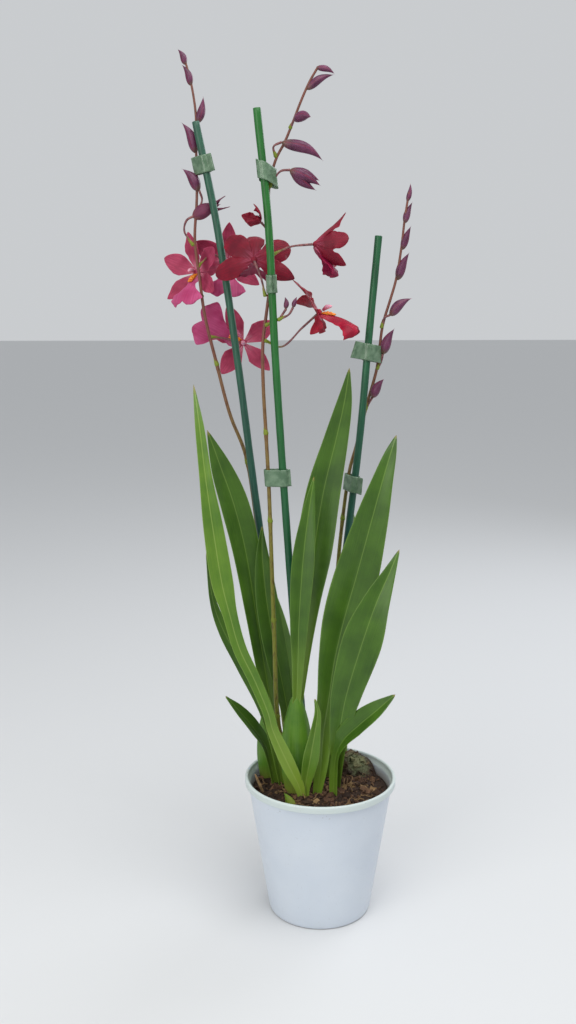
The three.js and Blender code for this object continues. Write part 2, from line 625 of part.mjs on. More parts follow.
function lip(frame, { angle = 180, lean, curl, size = 1, droop }, grow) {
  const widths = curveOfWidths(LIP_WIDTHS);
  const halfWidth = (t) => (widths.getPoint(THREE.MathUtils.clamp(t, 0, 1)).x * size * LIP.width) / 2;
  const pull = 0.35 * THREE.MathUtils.clamp(droop / 11 - 0.3, 0, 1);
  const surface = bentFace(frame, angle, size * LIP.length, lean, curl, (t, x) => {
    const edge = Math.min(1.1, Math.abs(x) / halfWidth(t));
    const lobes = -LIP_NOTCH * Math.max(0, 1 - edge) ** 2 - LIP_CORNER * edge ** 4;
    const wave = 1.3 * Math.sin(9 * t + 2.4 * Math.sign(x)) * edge ** 2;
    return {
      reach: t * (1 + t ** 3 * lobes),
      rise: t * wave - (0.2 + 0.8 * t) * droop * edge ** 2,
      aside: x * (1 - pull * edge ** 2),
    };
  });
  return blade({ surface, halfWidth, steps: 5, across: 4, thickness: PETAL_THICKNESS }, grow);
}

const behind = (frame, distance) => frame.centre.clone().addScaledVector(frame.front, -distance);

function perianth(shape, grow) {
  const frame = bloomFrame(shape);
  const knob = new THREE.LineCurve3(behind(frame, 1.6), behind(frame, -2.2));
  const parts = [rod(knob, (t) => 2.2 + t, 5, 1, grow)];
  const { lean, size = 1 } = shape;
  shape.tepals.forEach(([angle, curl, blunt, flick, share], index) => {
    const [length, width] = [TEPALS[index].length, TEPALS[index].width].map((n) => n * size * share);
    parts.push(tepal(frame, { angle, length, width, lean, curl, blunt, flick }, grow));
  });
  parts.push(lip(frame, shape.lip, grow));
  return fuse(parts);
}

// The crest is the ridged knob on the foot of the lip, and the column stands over it.
function crest(shape, grow) {
  const frame = bloomFrame(shape);
  const { angle = 180, lean, curl } = shape.lip;
  const face = bentFace(frame, angle, LIP.length, lean, curl, (t) => ({ reach: t, rise: 1.6 }));
  const knob = new THREE.CatmullRomCurve3([face(0.05, 0), face(0.18, 0), face(0.32, 0)]);
  return rod(knob, (t) => 0.8 + 1.3 * Math.sin(Math.PI * (0.15 + 0.7 * t)), 5, 3, grow);
}

function column(shape, grow) {
  const frame = bloomFrame(shape);
  const base = behind(frame, -3.2).addScaledVector(frame.top, 0.6);
  const bend = behind(frame, -7).addScaledVector(frame.top, 1.2);
  const end = behind(frame, -11).addScaledVector(frame.top, 0.2);
  return rod(new THREE.CatmullRomCurve3([base, bend, end]), (t) => 1.3 + 0.7 * t, 5, 2, grow);
}

const flowers = new THREE.Group();
group.add(flowers);
for (const [name, shape] of Object.entries(BLOOMS)) {
  place(`bloom_${name}`, CRIMSON, (grow) => perianth(shape, grow), flowers);
  place(`crest_${name}`, CREST, (grow) => crest(shape, grow), flowers);
  place(`column_${name}`, COLUMN, (grow) => column(shape, grow), flowers);
}

// Opening buds: the outer tepals have parted round a core that is still folded.
const OPENING_BUDS = {
  centre: {
    centre: [-46, 4, 541], facing: [-0.8, -0.45, 0.42], up: [0.4, 0, 0.9],
    angles: [15, 135, 255], length: 14, width: 8.5, lean: 34, curl: 52, core: { length: 8, width: 5 },
  },
  left: {
    centre: [-95.5, 56, 548], facing: [0.93, -0.1, 0.4], up: [-0.4, 0, 0.93],
    angles: [10, 170], length: 29, width: 4.5, lean: 85, curl: -2, core: { length: 23, width: 11 },
  },
};

function openingBud(shape, grow) {
  const frame = bloomFrame(shape);
  const { angles, length, width, lean, curl, core } = shape;
  const parts = angles.map((angle) => tepal(frame, { angle, length, width, lean, curl }, grow));
  return fuse([bud(behind(frame, 1), behind(frame, -core.length), core.width, grow), ...parts]);
}
for (const [name, shape] of Object.entries(OPENING_BUDS)) {
  place(`opening_bud_${name}`, BUD, (grow) => openingBud(shape, grow), flowers);
}

// Potting mix: bark chips fused into one body that fills the pot, with holes where things stand.
const CHIPS = 11;
const CHIP_CIRCLE = 48;
const MIX_CROWN = 4;
// Towards the back right the mix is heaped up to the rim.
const HEAP = { centre: [28, 34, 104], half: [25, 21, 13] };

// Repeatable draws between 0 and 1.
function draws(seed) {
  let state = seed;
  return () => {
    state = (state * 1664525 + 1013904223) % 4294967296;
    return state / 4294967296;
  };
}

function barkMix() {
  const draw = draws(7);
  const inside = (z) => potRadius(z) - POT_WALL - GAP - 0.2;
  const floor = POT_FLOOR + GAP;
  const fill = lathe([[0, floor], [inside(floor) - 0.8, floor], [inside(MIX_HEIGHT), MIX_HEIGHT],
    [25, MIX_HEIGHT + MIX_CROWN / 2], [0, MIX_HEIGHT + MIX_CROWN]]);
  const cavity = lathe([[0, floor], [inside(floor) - 0.8, floor], [inside(SHOULDER), SHOULDER],
    [inside(SHOULDER) + 1, POT_HEIGHT + 7], [0, POT_HEIGHT + 7]]);
  const heap = new THREE.SphereGeometry(1, 8, 5).scale(...HEAP.half).translate(...HEAP.centre);
  const chips = [solidOf(heap)];
  for (let chip = 0; chip < CHIPS; chip += 1) {
    const radius = CHIP_CIRCLE * Math.sqrt((chip + 0.5) / CHIPS);
    const angle = chip * 2.39996 + 0.3 * draw();
    const height = MIX_HEIGHT + MIX_CROWN * (1 - (radius / CHIP_CIRCLE) ** 2) - 0.5 + 2 * draw();
    const box = new THREE.BoxGeometry(11 + 7 * draw(), 7 + 4 * draw(), 5 + 3 * draw());
    box.rotateX(0.9 * (draw() - 0.5)).rotateY(0.9 * (draw() - 0.5)).rotateZ(6.3 * draw());
    chips.push(solidOf(box.translate(radius * Math.cos(angle), radius * Math.sin(angle), height)));
  }
  return fuse([fill, ...chips]).intersect(cavity).subtract(fuse(holes));
}
show('bark_mix', BARK, barkMix());

export default group;
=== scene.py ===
import json
import math

import bmesh
import bpy
import numpy as np
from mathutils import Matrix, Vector

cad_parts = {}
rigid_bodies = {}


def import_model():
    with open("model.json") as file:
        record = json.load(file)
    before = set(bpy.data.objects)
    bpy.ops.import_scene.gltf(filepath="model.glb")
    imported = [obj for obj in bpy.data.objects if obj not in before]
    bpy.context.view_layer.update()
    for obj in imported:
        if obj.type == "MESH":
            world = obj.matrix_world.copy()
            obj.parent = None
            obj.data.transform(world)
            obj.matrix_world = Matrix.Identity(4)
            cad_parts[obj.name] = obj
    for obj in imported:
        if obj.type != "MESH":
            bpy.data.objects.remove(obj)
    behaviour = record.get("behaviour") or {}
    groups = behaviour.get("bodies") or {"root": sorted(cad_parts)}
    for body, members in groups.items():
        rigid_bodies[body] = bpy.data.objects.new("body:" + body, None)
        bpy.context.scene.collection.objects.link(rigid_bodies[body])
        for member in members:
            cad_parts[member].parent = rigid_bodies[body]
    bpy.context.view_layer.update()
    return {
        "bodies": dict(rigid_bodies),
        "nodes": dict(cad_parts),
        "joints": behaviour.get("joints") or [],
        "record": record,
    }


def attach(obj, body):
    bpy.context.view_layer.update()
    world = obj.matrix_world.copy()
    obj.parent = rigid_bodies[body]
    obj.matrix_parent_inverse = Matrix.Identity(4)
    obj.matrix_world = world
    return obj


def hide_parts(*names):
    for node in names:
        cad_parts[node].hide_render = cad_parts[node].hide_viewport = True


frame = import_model()


# The pot: a round tapered nursery pot of white polypropylene, injection moulded in one piece.
# It has a thin wall, a stiffening band under its rolled rim and drainage holes in its floor.
# The plastic lets a little light in, so that it looks faintly blue and never quite flat.
MM = 0.001
POT_HEIGHT = 112
RIM_RADIUS = 60
RIM_BAND = 5.6
SHOULDER_RADIUS = 57.2
FOOT_RADIUS = 40.5
POT_WALL = 1.5
POT_FLOOR = 2
SHOULDER = POT_HEIGHT - RIM_BAND
POT_SIDES = 144
WALL_SLOPE = 0.16
DRAIN_HOLES = 8
DRAIN_RADIUS = 4
DRAIN_CIRCLE = 27


def srgb(code):
    """A hex colour turned to linear red, green, blue and alpha."""
    parts = [int(code[i:i + 2], 16) / 255 for i in (1, 3, 5)]
    return [c / 12.92 if c <= 0.04045 else ((c + 0.055) / 1.055) ** 2.4 for c in parts] + [1.0]


def add(tree, kind, inputs=None, **settings):
    """Adds a node, with its settings, and fills its inputs with values or with other nodes."""
    made = tree.nodes.new(kind)
    for name, value in settings.items():
        setattr(made, name, value)
    for key, value in (inputs or {}).items():
        socket = made.inputs[key]
        if isinstance(value, bpy.types.Node):
            value = next(output for output in value.outputs if output.enabled)
        if isinstance(value, bpy.types.NodeSocket):
            tree.links.new(value, socket)
        else:
            socket.default_value = value
    return made


def start_material(name, **sockets):
    """A new material whose shader has these sockets set, with its tree, shader and coordinates."""
    material = bpy.data.materials.new(name)
    material.use_nodes = True
    tree = material.node_tree
    shader = tree.nodes["Principled BSDF"]
    for socket, value in sockets.items():
        shader.inputs[socket.replace("_", " ")].default_value = value
    place = add(tree, "ShaderNodeTexCoord").outputs["Object"]
    return material, tree, shader, place


def piece(name, mesh, material, slot, nodes=(), smooth=True):
    """A finished piece of the object, which rides on its one body and stands for CAD nodes."""
    made = bpy.data.objects.new(name, mesh)
    bpy.context.scene.collection.objects.link(made)
    if material is not None:
        mesh.materials.clear()
        mesh.materials.append(material)
    if smooth:
        mesh.shade_smooth()
    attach(made, "root")
    if nodes:
        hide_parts(*nodes)
    return made


def mesh_of(name, parts):
    """One mesh from parts, each with its corners in mm, its faces, and its UVs and marks by corner."""
    corners, faces, uvs, marks = [], [], [], {}
    start = 0
    for part in parts:
        corners.append(part["corners"])
        faces += [[start + i for i in face] for face in part["faces"]]
        uvs.append(part["uv"])
        for mark, values in part.get("marks", {}).items():
            marks.setdefault(mark, []).append(values)
        start += len(part["corners"])
    mesh = bpy.data.meshes.new(name)
    mesh.from_pydata((np.concatenate(corners) * MM).tolist(), [], faces)
    around = np.concatenate(uvs)
    corner_of = np.zeros(len(mesh.loops), np.int32)
    mesh.loops.foreach_get("vertex_index", corner_of)
    layer = mesh.uv_layers.new(name="UVMap")
    layer.data.foreach_set("uv", around[corner_of].astype(np.float32).ravel())
    for mark, values in marks.items():
        attribute = mesh.attributes.new(mark, "FLOAT", "POINT")
        attribute.data.foreach_set("value", np.concatenate(values).astype(np.float32))
    mesh.validate()
    return mesh


def ring_faces(rings, sides):
    """The faces over rings of corners that come one after another, with a single corner at each end."""
    faces = []
    last = rings * sides + 1
    for side in range(sides):
        after = (side + 1) % sides
        faces.append([0, 1 + after, 1 + side])
        for ring in range(rings - 1):
            low = 1 + ring * sides
            faces.append([low + side, low + after, low + sides + after, low + sides + side])
        faces.append([last - sides + side, last - sides + after, last])
    return faces


def lathe(rows, sides):
    """A closed shape turned about the Z axis from rows of radius and height, first and last on it."""
    rows = np.array(rows, float)
    angles = np.linspace(0, 2 * math.pi, sides, endpoint=False)
    ring = np.stack([np.cos(angles), np.sin(angles)], 1)
    corners = [[0, 0, rows[0][1]]]
    uvs = [[0.5, 0]]
    for index, (radius, height) in enumerate(rows[1:-1]):
        corners += np.column_stack([ring * radius, np.full(sides, height)]).tolist()
        uvs += [[angle / (2 * math.pi), (index + 1) / len(rows)] for angle in angles]
    corners.append([0, 0, rows[-1][1]])
    uvs.append([0.5, 1])
    return {"corners": np.array(corners), "faces": ring_faces(len(rows) - 2, sides), "uv": np.array(uvs)}


def pot_radius(height):
    """The radius of the pot's tapered wall, outside, at a height."""
    return FOOT_RADIUS + (SHOULDER_RADIUS - FOOT_RADIUS) * height / SHOULDER


def arc(centre, radius, first, last, count):
    """Rows along an arc, between two angles in degrees."""
    turn = np.radians(np.linspace(first, last, count))
    return [[centre[0] + radius * math.cos(a), centre[1] + radius * math.sin(a)] for a in turn]


wall_heights = np.linspace(3.5, SHOULDER - 1.2, 14)
pot_rows = [[0, 0], [20, 0], [FOOT_RADIUS - 2.6, 0]]
pot_rows += arc((FOOT_RADIUS - 2.2, 2.2), 2.2, -90, -8, 6)
pot_rows += [[pot_radius(z), z] for z in wall_heights]
pot_rows += [[SHOULDER_RADIUS, SHOULDER - 0.3], [SHOULDER_RADIUS + 0.3, SHOULDER]]
pot_rows += arc((RIM_RADIUS - 0.7, SHOULDER + 0.7), 0.7, -90, 0, 5)
pot_rows += [[RIM_RADIUS - 0.1, SHOULDER + RIM_BAND / 2]]
pot_rows += arc((RIM_RADIUS - 1.35, POT_HEIGHT - 1.35), 1.35, 0, 180, 14)
pot_rows += [[RIM_RADIUS - 2.9, POT_HEIGHT - 3.5], [SHOULDER_RADIUS - POT_WALL + 0.2, SHOULDER + 1]]
pot_rows += [[pot_radius(z) - POT_WALL, z] for z in wall_heights[::-1]]
pot_rows += [[pot_radius(POT_FLOOR) - POT_WALL - 1.5, POT_FLOOR], [20, POT_FLOOR], [0, POT_FLOOR]]

plastic, tree, shader, place = start_material(
    "moulded_white_polypropylene", Roughness=0.36, IOR=1.49, Subsurface_Weight=0.12)
shader.inputs["Subsurface Radius"].default_value = (1.0, 1.1, 1.3)
shader.inputs["Subsurface Scale"].default_value = 2 * MM
# Moulding leaves the colour very slightly uneven, in soft patches a few centimetres wide.
cloud = add(tree, "ShaderNodeTexNoise", {"Vector": place, "Scale": 1000 / 38, "Detail": 3.0})
tint = add(tree, "ShaderNodeMix", {0: cloud, 6: srgb("#c3ccd8"), 7: srgb("#d3dae2")}, data_type="RGBA")
# Watering leaves dark specks of dirt on the rim.
height = add(tree, "ShaderNodeSeparateXYZ", {0: place})
specks = add(tree, "ShaderNodeTexNoise", {"Vector": place, "Scale": 1000 / 1.7, "Detail": 2.0})
dots = add(tree, "ShaderNodeMapRange", {0: specks, 1: 0.69, 2: 0.73, 3: 0.0, 4: 0.8})
near_rim = add(tree, "ShaderNodeMapRange", {0: height.outputs[2], 1: 98 * MM, 2: 108 * MM, 3: 0.15, 4: 1.0})
dirt = add(tree, "ShaderNodeMath", {0: dots, 1: near_rim}, operation="MULTIPLY")
soiled = add(tree, "ShaderNodeMix", {0: dirt, 6: tint, 7: srgb("#6f5a48")}, data_type="RGBA")
# The inner wall is painted browner and darker towards the mix, as painted shade inside the pot.
across = add(tree, "ShaderNodeVectorMath", {0: place, 1: (1, 1, 0)}, operation="MULTIPLY")
far = add(tree, "ShaderNodeVectorMath", {0: across}, operation="LENGTH")
wall_line = add(tree, "ShaderNodeMath", {0: height.outputs[2], 1: WALL_SLOPE, 2: FOOT_RADIUS * MM},
                operation="MULTIPLY_ADD")
inward = add(tree, "ShaderNodeMath", {0: wall_line, 1: far.outputs["Value"]}, operation="SUBTRACT")
inside = add(tree, "ShaderNodeMapRange", {0: inward, 1: 0.8 * MM, 2: 1.4 * MM, 3: 0.0, 4: 1.0})
low = add(tree, "ShaderNodeMapRange", {0: height.outputs[2], 1: 99 * MM, 2: 107 * MM, 3: 0.75, 4: 0.0})
inner_wall_shade = add(tree, "ShaderNodeMath", {0: inside, 1: low}, operation="MULTIPLY")
# The rim band is painted a little darker and greener, as painted shade.
rim_shade = add(tree, "ShaderNodeMapRange", {0: height.outputs[2], 1: 105.5 * MM, 2: 107.5 * MM, 3: 0.0, 4: 0.75})
rimmed = add(tree, "ShaderNodeMix", {0: rim_shade, 6: soiled, 7: srgb("#c3cec8")}, data_type="RGBA")
inner_shaded = add(tree, "ShaderNodeMix", {0: inner_wall_shade, 6: rimmed, 7: srgb("#7d6a55")}, data_type="RGBA")
tree.links.new(inner_shaded.outputs[2], shader.inputs["Base Color"])
# Fine scuffs, about 3 mm long and lying round the wall, break up the shine.
scuffed = add(tree, "ShaderNodeTexNoise", {"Vector": place, "Scale": 1000 / 3, "Detail": 4.0})
shine = add(tree, "ShaderNodeMapRange", {0: scuffed, 1: 0.3, 2: 0.7, 3: 0.3, 4: 0.46})
tree.links.new(shine.outputs[0], shader.inputs["Roughness"])
relief = add(tree, "ShaderNodeBump", {"Height": scuffed, "Strength": 0.12, "Distance": 0.2 * MM})
tree.links.new(relief.outputs[0], shader.inputs["Normal"])

pot_mesh = mesh_of("pot_moulding", [lathe(pot_rows, POT_SIDES)])
pot = bpy.data.objects.new("pot_blank", pot_mesh)
drill = lathe([[0, -5], [DRAIN_RADIUS, -5], [DRAIN_RADIUS, 8], [0, 8]], 24)
drill_set = []
for a in (np.arange(DRAIN_HOLES) + 0.5) * 2 * math.pi / DRAIN_HOLES:
    hole = [DRAIN_CIRCLE * math.cos(a), DRAIN_CIRCLE * math.sin(a), 0]
    drill_set.append({**drill, "corners": drill["corners"] + hole})
drills = bpy.data.objects.new("drills", mesh_of("drills", drill_set))
for blank in (pot, drills):
    bpy.context.scene.collection.objects.link(blank)
cut = pot.modifiers.new("drain_holes", "BOOLEAN")
cut.object = drills
cut.operation = "DIFFERENCE"
bpy.context.view_layer.update()
drilled = bpy.data.meshes.new_from_object(pot.evaluated_get(bpy.context.evaluated_depsgraph_get()))
bpy.data.objects.remove(pot)
bpy.data.objects.remove(drills)
piece("pot_moulded", drilled, plastic, "pot_plastic", ["pot"])
drilled.set_sharp_from_angle(angle=math.radians(50))


# The canes: three thin round sticks, painted or coated green, pushed into the mix to carry the
# flower stems. Their tops are sawn off square. The grain of the stick shows through the coat as
# fine streaks along it.
CANE_RADIUS = 2.9
CANES = {
    "centre": [[-10, 13, 26], [-11, 12, 119], [-22, 9, 253], [-35, 4, 443], [-40, 2, 540], [-48, 0, 619]],
    "right": [[-3, 29, 26], [3, 30, 101], [23, 34, 291], [33, 36, 380], [39, 38, 453], [46, 40, 533]],
    "left": [[-12, 32, 26], [-20, 34, 104], [-37, 38, 235], [-52, 42, 350], [-63, 44, 439], [-78, 48, 542],
             [-93, 50, 617]],
}
EVEN = 0.0
CENTRIPETAL = 0.25


def spline(rows, power=CENTRIPETAL):
    """A Catmull-Rom curve through rows of numbers, whose knots are spaced by distance or evenly."""
    rows = np.array(rows, float)
    padded = np.vstack([2 * rows[0] - rows[1], rows, 2 * rows[-1] - rows[-2]])
    pieces = len(rows) - 1

    def at(t):
        along = np.clip(np.asarray(t, float), 0, 1) * pieces
        index = np.minimum(along.astype(int), pieces - 1)
        w = (along - index)[..., None]
        a, b, c, d = (padded[index + shift] for shift in range(4))
        gaps = [np.maximum(np.sum((q - p) ** 2, -1, keepdims=True) ** power, 1e-6)
                for p, q in ((a, b), (b, c), (c, d))]
        first = ((b - a) / gaps[0] - (c - a) / (gaps[0] + gaps[1]) + (c - b) / gaps[1]) * gaps[1]
        second = ((c - b) / gaps[1] - (d - b) / (gaps[1] + gaps[2]) + (d - c) / gaps[2]) * gaps[1]
        rising = (2 * b - 2 * c + first + second) * w
        return ((rising - 3 * b + 3 * c - 2 * first - second) * w + first) * w + b

    return at


def even_path(rows, spacing):
    """Points at equal distances along a route, with their places from 0 to 1."""
    fine = spline(rows)(np.linspace(0, 1, 60 * len(rows)))
    reach = np.concatenate([[0], np.cumsum(np.linalg.norm(np.diff(fine, axis=0), axis=1))])
    count = max(3, int(round(reach[-1] / spacing)) + 1)
    places = np.linspace(0, 1, count)
    points = np.column_stack([np.interp(places * reach[-1], reach, fine[:, i]) for i in range(3)])
    return points, places, reach[-1]


def rod_tree():
    """Geometry nodes that sweep a round section along each spline, as thick as its radius says."""
    tree = bpy.data.node_groups.new("round_rod", "GeometryNodeTree")
    tree.interface.new_socket("Geometry", in_out="INPUT", socket_type="NodeSocketGeometry")
    sides = tree.interface.new_socket("Sides", in_out="INPUT", socket_type="NodeSocketInt")
    finish = tree.interface.new_socket("Finish", in_out="INPUT", socket_type="NodeSocketMaterial")
    tree.interface.new_socket("Geometry", in_out="OUTPUT", socket_type="NodeSocketGeometry")
    given = add(tree, "NodeGroupInput")
    spot = add(tree, "GeometryNodeSplineParameter")
    kept = add(tree, "GeometryNodeStoreNamedAttribute", {
        "Geometry": given.outputs["Geometry"], "Name": "along", "Value": spot.outputs["Factor"]},
        data_type="FLOAT", domain="POINT")
    section = add(tree, "GeometryNodeCurvePrimitiveCircle", {
        "Resolution": given.outputs["Sides"], "Radius": 1.0})
    thickness = add(tree, "GeometryNodeInputRadius")
    swept = add(tree, "GeometryNodeCurveToMesh", {
        "Curve": kept, "Profile Curve": section, "Scale": thickness, "Fill Caps": True})
    bend = add(tree, "GeometryNodeInputMeshEdgeAngle")
    soft = add(tree, "FunctionNodeCompare", {0: bend.outputs[0], 1: math.radians(40)}, operation="LESS_THAN")
    smooth = add(tree, "GeometryNodeSetShadeSmooth", {"Geometry": swept, "Shade Smooth": soft}, domain="EDGE")
    real = add(tree, "GeometryNodeRealizeInstances", {"Geometry": smooth})
    done = add(tree, "GeometryNodeSetMaterial", {"Geometry": real, "Material": given.outputs["Finish"]})
    add(tree, "NodeGroupOutput", {"Geometry": done})
    return tree, sides.identifier, finish.identifier


rod_nodes, rod_sides, rod_finish = rod_tree()


def made_by_nodes(name, data, tree, inputs):
    """The plain mesh that a geometry node tree makes from a curve or a mesh."""
    host = bpy.data.objects.new(name, data)
    bpy.context.scene.collection.objects.link(host)
    modifier = host.modifiers.new(name, "NODES")
    modifier.node_group = tree
    for identifier, value in inputs.items():
        modifier[identifier] = value
    bpy.context.view_layer.update()
    evaluated = host.evaluated_get(bpy.context.evaluated_depsgraph_get())
    mesh = bpy.data.meshes.new_from_object(evaluated)
    mesh.name = name
    host.modifiers.clear()
    bpy.data.objects.remove(host)
    return mesh


def rods(name, routes, sides, material):
    """A mesh of round rods. Each route is its points in mm and a radius in mm for each."""
    curve = bpy.data.curves.new(name, "CURVE")
    curve.dimensions = "3D"
    for points, radii in routes:
        spline_data = curve.splines.new("POLY")
        spline_data.points.add(len(points) - 1)
        flat = np.column_stack([np.array(points) * MM, np.ones(len(points))])
        spline_data.points.foreach_set("co", flat.ravel())
        spline_data.points.foreach_set("radius", np.array(radii, float) * MM)
    return made_by_nodes(name, curve, rod_nodes, {rod_sides: sides, rod_finish: material})


def coated_stick(name, pale, deep, foot):
    """A wooden stick under green paint: streaky along its grain, blotched, and duller at its foot."""
    material, tree, shader, place = start_material(name, Roughness=0.42, IOR=1.5)
    # The grain is stretched 30 times along the stick, and is 0.5 mm wide.
    squeezed = add(tree, "ShaderNodeMapping", {"Vector": place, "Scale": (1, 1, 0.03)})
    grain = add(tree, "ShaderNodeTexNoise", {"Vector": squeezed, "Scale": 1000 / 0.9, "Detail": 5.0})
    streak = add(tree, "ShaderNodeMapRange", {0: grain, 1: 0.32, 2: 0.68})
    coat = add(tree, "ShaderNodeMix", {0: streak, 6: srgb(deep), 7: srgb(pale)}, data_type="RGBA")
    height = add(tree, "ShaderNodeSeparateXYZ", {0: place})
    lower = add(tree, "ShaderNodeMapRange", {0: height.outputs[2], 1: 0.47, 2: 0.24})
    faded = add(tree, "ShaderNodeMix", {0: lower, 6: coat, 7: srgb(foot)}, data_type="RGBA")
    blot = add(tree, "ShaderNodeTexNoise", {"Vector": place, "Scale": 1000 / 14, "Detail": 3.0})
    worn = add(tree, "ShaderNodeMapRange", {0: blot, 1: 0.35, 2: 0.75, 3: 0.0, 4: 0.3})
    mixed = add(tree, "ShaderNodeMix", {0: worn, 6: faded, 7: srgb(deep)}, data_type="RGBA")
    tree.links.new(mixed.outputs[2], shader.inputs["Base Color"])
    relief = add(tree, "ShaderNodeBump", {"Height": grain, "Strength": 0.35, "Distance": 0.15 * MM})
    tree.links.new(relief.outputs[0], shader.inputs["Normal"])
    return material


cane_coats = {
    "centre": coated_stick("bright_green_coated_stick", "#1e7024", "#0e4e16", "#0c4a36"),
    "right": coated_stick("dark_green_coated_stick", "#1c6038", "#0e4226", "#0b4440"),
    "left": coated_stick("sea_green_coated_stick", "#2c624a", "#173f30", "#15483e"),
}
cane_slots = {"centre": "cane_green", "right": "cane_dark_green", "left": "cane_dark_green"}
for name, route in CANES.items():
    points, places, reach = even_path(route, 4)
    # A small bevel at each sawn end, and a stick that is never quite the same width.
    points = np.vstack([points[0], points, points[-1]])
    points[-1] = points[-2]
    points[-2] = points[-3] + (points[-1] - points[-3]) * 0.9
    radii = CANE_RADIUS * (0.985 + 0.015 * np.sin(np.arange(len(points)) * 0.7))
    radii[0], radii[-1] = CANE_RADIUS * 0.85, CANE_RADIUS * 0.88
    points[0] = points[1] - (points[2] - points[1]) * 0.1
    mesh = rods(f"stick_{name}", [(points, radii)], 28, cane_coats[name])
    piece(f"stick_{name}", mesh, None, cane_slots[name], [f"cane_{name}"], smooth=False)


# The flower stems: three thin arching spikes, each tied to its cane. They are olive yellow with
# brown spots low down and turn brown-red higher up. Each joint has a papery bract, and the buds
# and the blooms stand on thin stalks.
STEM_FOOT_RADIUS = 2
STEM_TIP_RADIUS = 0.85
STALK_RADIUS = 0.75
STALK_WRAP = 6
BRACT_LENGTH = 9
STEMS = {
    "centre": {
        "route": [
            [-21, 8, 90], [-31, 8, 141], [-34, 8, 160], [-36, 8, 223], [-38, 8, 284], [-40, 8, 344],
            [-42, 8, 384], [-44, 8, 423], [-44, 9, 453], [-41, 10, 477], [-38, 10, 500], [-37, 9, 521],
            [-39, 8, 545], [-39, 7, 566], [-34, 6, 585], [-28, 6, 596], [-22, 6, 610], [-16, 6, 625],
            [-10, 6, 638], [-4, 6, 648]],
        "joints": [0.12, 0.26, 0.4, 0.52],
        "stalks": [
            [[-42, 10, 487], [-45, 12, 500], [-50, 16.5, 513]],
            [[-37, 9, 517], [-24, 10, 523], [-7, 10, 525]],
            [[-43, 9, 455], [-30, 12, 450], [-14, 17, 464], [-2.5, 20, 474]],
            [[-39, 8, 535], [-42, 6, 537], [-45, 4, 540]]],
        "buds": [
            ([[-39, 7, 565], [-31, 4, 576], [-24, 4, 577]], [-3, 4, 566], 9),
            ([[-34, 6, 586], [-36, 3, 593], [-30, 2, 596]], [0, 2, 583], 8.5),
            ([[-24, 6, 606], [-21, 2, 612]], [-10, -12, 611], 7.5),
            ([[-12, 6, 633]], [8, 6, 643], 6),
            ([[-5, 6, 648]], [8, 4, 643], 4.5),
            ([[-42, 9, 466], [-33, 4, 470], [-27, 2, 478]], [-28, 2, 487], 4),
            ([[-33, 4, 470], [-25, 1, 474], [-22, 1, 479]], [-19, 1, 487], 3.5)],
    },
    "right": {
        "route": [
            [-6, 36, 90], [6, 38, 162], [14, 40, 235], [19, 42, 297], [26, 43, 352], [31, 44, 370],
            [40, 45, 406], [47, 46, 432], [51, 46, 465], [57, 46, 486], [61, 47, 500], [65, 48, 525],
            [67, 48, 545], [70, 48, 566]],
        "joints": [0.14, 0.3, 0.46, 0.6, 0.74],
        "stalks": [],
        "buds": [
            ([[69, 48, 559]], [71, 48, 573], 4),
            ([[67, 48, 543]], [73, 48, 559], 5.5),
            ([[65.5, 48, 523]], [72, 46, 541], 6),
            ([[62, 47, 500]], [71, 45, 521], 7.5),
            ([[50, 46, 463], [52, 44, 471], [56, 43, 473]], [73, 41, 486], 8),
            ([[47, 46, 431], [50, 44, 437], [51, 43, 443]], [60, 42, 463], 8),
            ([[38, 45, 399], [41, 43, 405], [43, 42, 409]], [52, 39, 424], 7.5)],
    },
    "left": {
        "route": [
            [-21, 40, 90], [-29, 43, 160], [-37, 45, 233], [-47, 47, 296], [-57, 49, 363], [-69, 51, 395],
            [-80, 54, 438], [-88, 55, 472], [-92, 55, 503], [-95, 55, 530], [-93, 55, 562], [-93, 56, 600],
            [-93, 57, 624], [-96, 57, 645], [-101, 57, 664]],
        "joints": [0.14, 0.3, 0.46, 0.6],
        "stalks": [
            [[-90, 55, 487], [-91, 62, 492], [-92.5, 70, 503]],
            [[-93, 55, 510], [-82, 68, 520], [-72, 81, 515]],
            [[-84, 55, 456], [-74, 62, 455], [-61, 68, 451.5]],
            [[-96, 55, 526], [-103, 54, 537], [-101, 54, 545], [-96, 55, 548]]],
        "buds": [
            ([[-94, 55, 550], [-89, 54, 560], [-91, 53, 567]], [-104, 53, 583], 8.5),
            ([[-93, 56, 595]], [-104, 54, 617], 8),
            ([[-93, 57, 610], [-91, 56, 617]], [-87, 55, 636], 6.5),
            ([[-96, 57, 644]], [-103, 57, 659], 5.5),
            ([[-100, 57, 659]], [-106, 57, 670], 5)],
    },
}

stem_skin, tree, shader, place = start_material(
    "living_flower_stem", Roughness=0.45, IOR=1.42, Subsurface_Weight=0.12)
shader.inputs["Subsurface Radius"].default_value = (1.0, 0.7, 0.3)
shader.inputs["Subsurface Scale"].default_value = 1.5 * MM
height = add(tree, "ShaderNodeSeparateXYZ", {0: place})
wander = add(tree, "ShaderNodeTexNoise", {"Vector": place, "Scale": 1000 / 30, "Detail": 2.0})
level = add(tree, "ShaderNodeMath", {0: wander, 1: 0.09, 2: height.outputs[2]}, operation="MULTIPLY_ADD")
ripe = add(tree, "ShaderNodeMapRange", {0: level, 1: 0.30, 2: 0.50})
skin = add(tree, "ShaderNodeMix", {0: ripe, 6: srgb("#77782a"), 7: srgb("#74463a")}, data_type="RGBA")
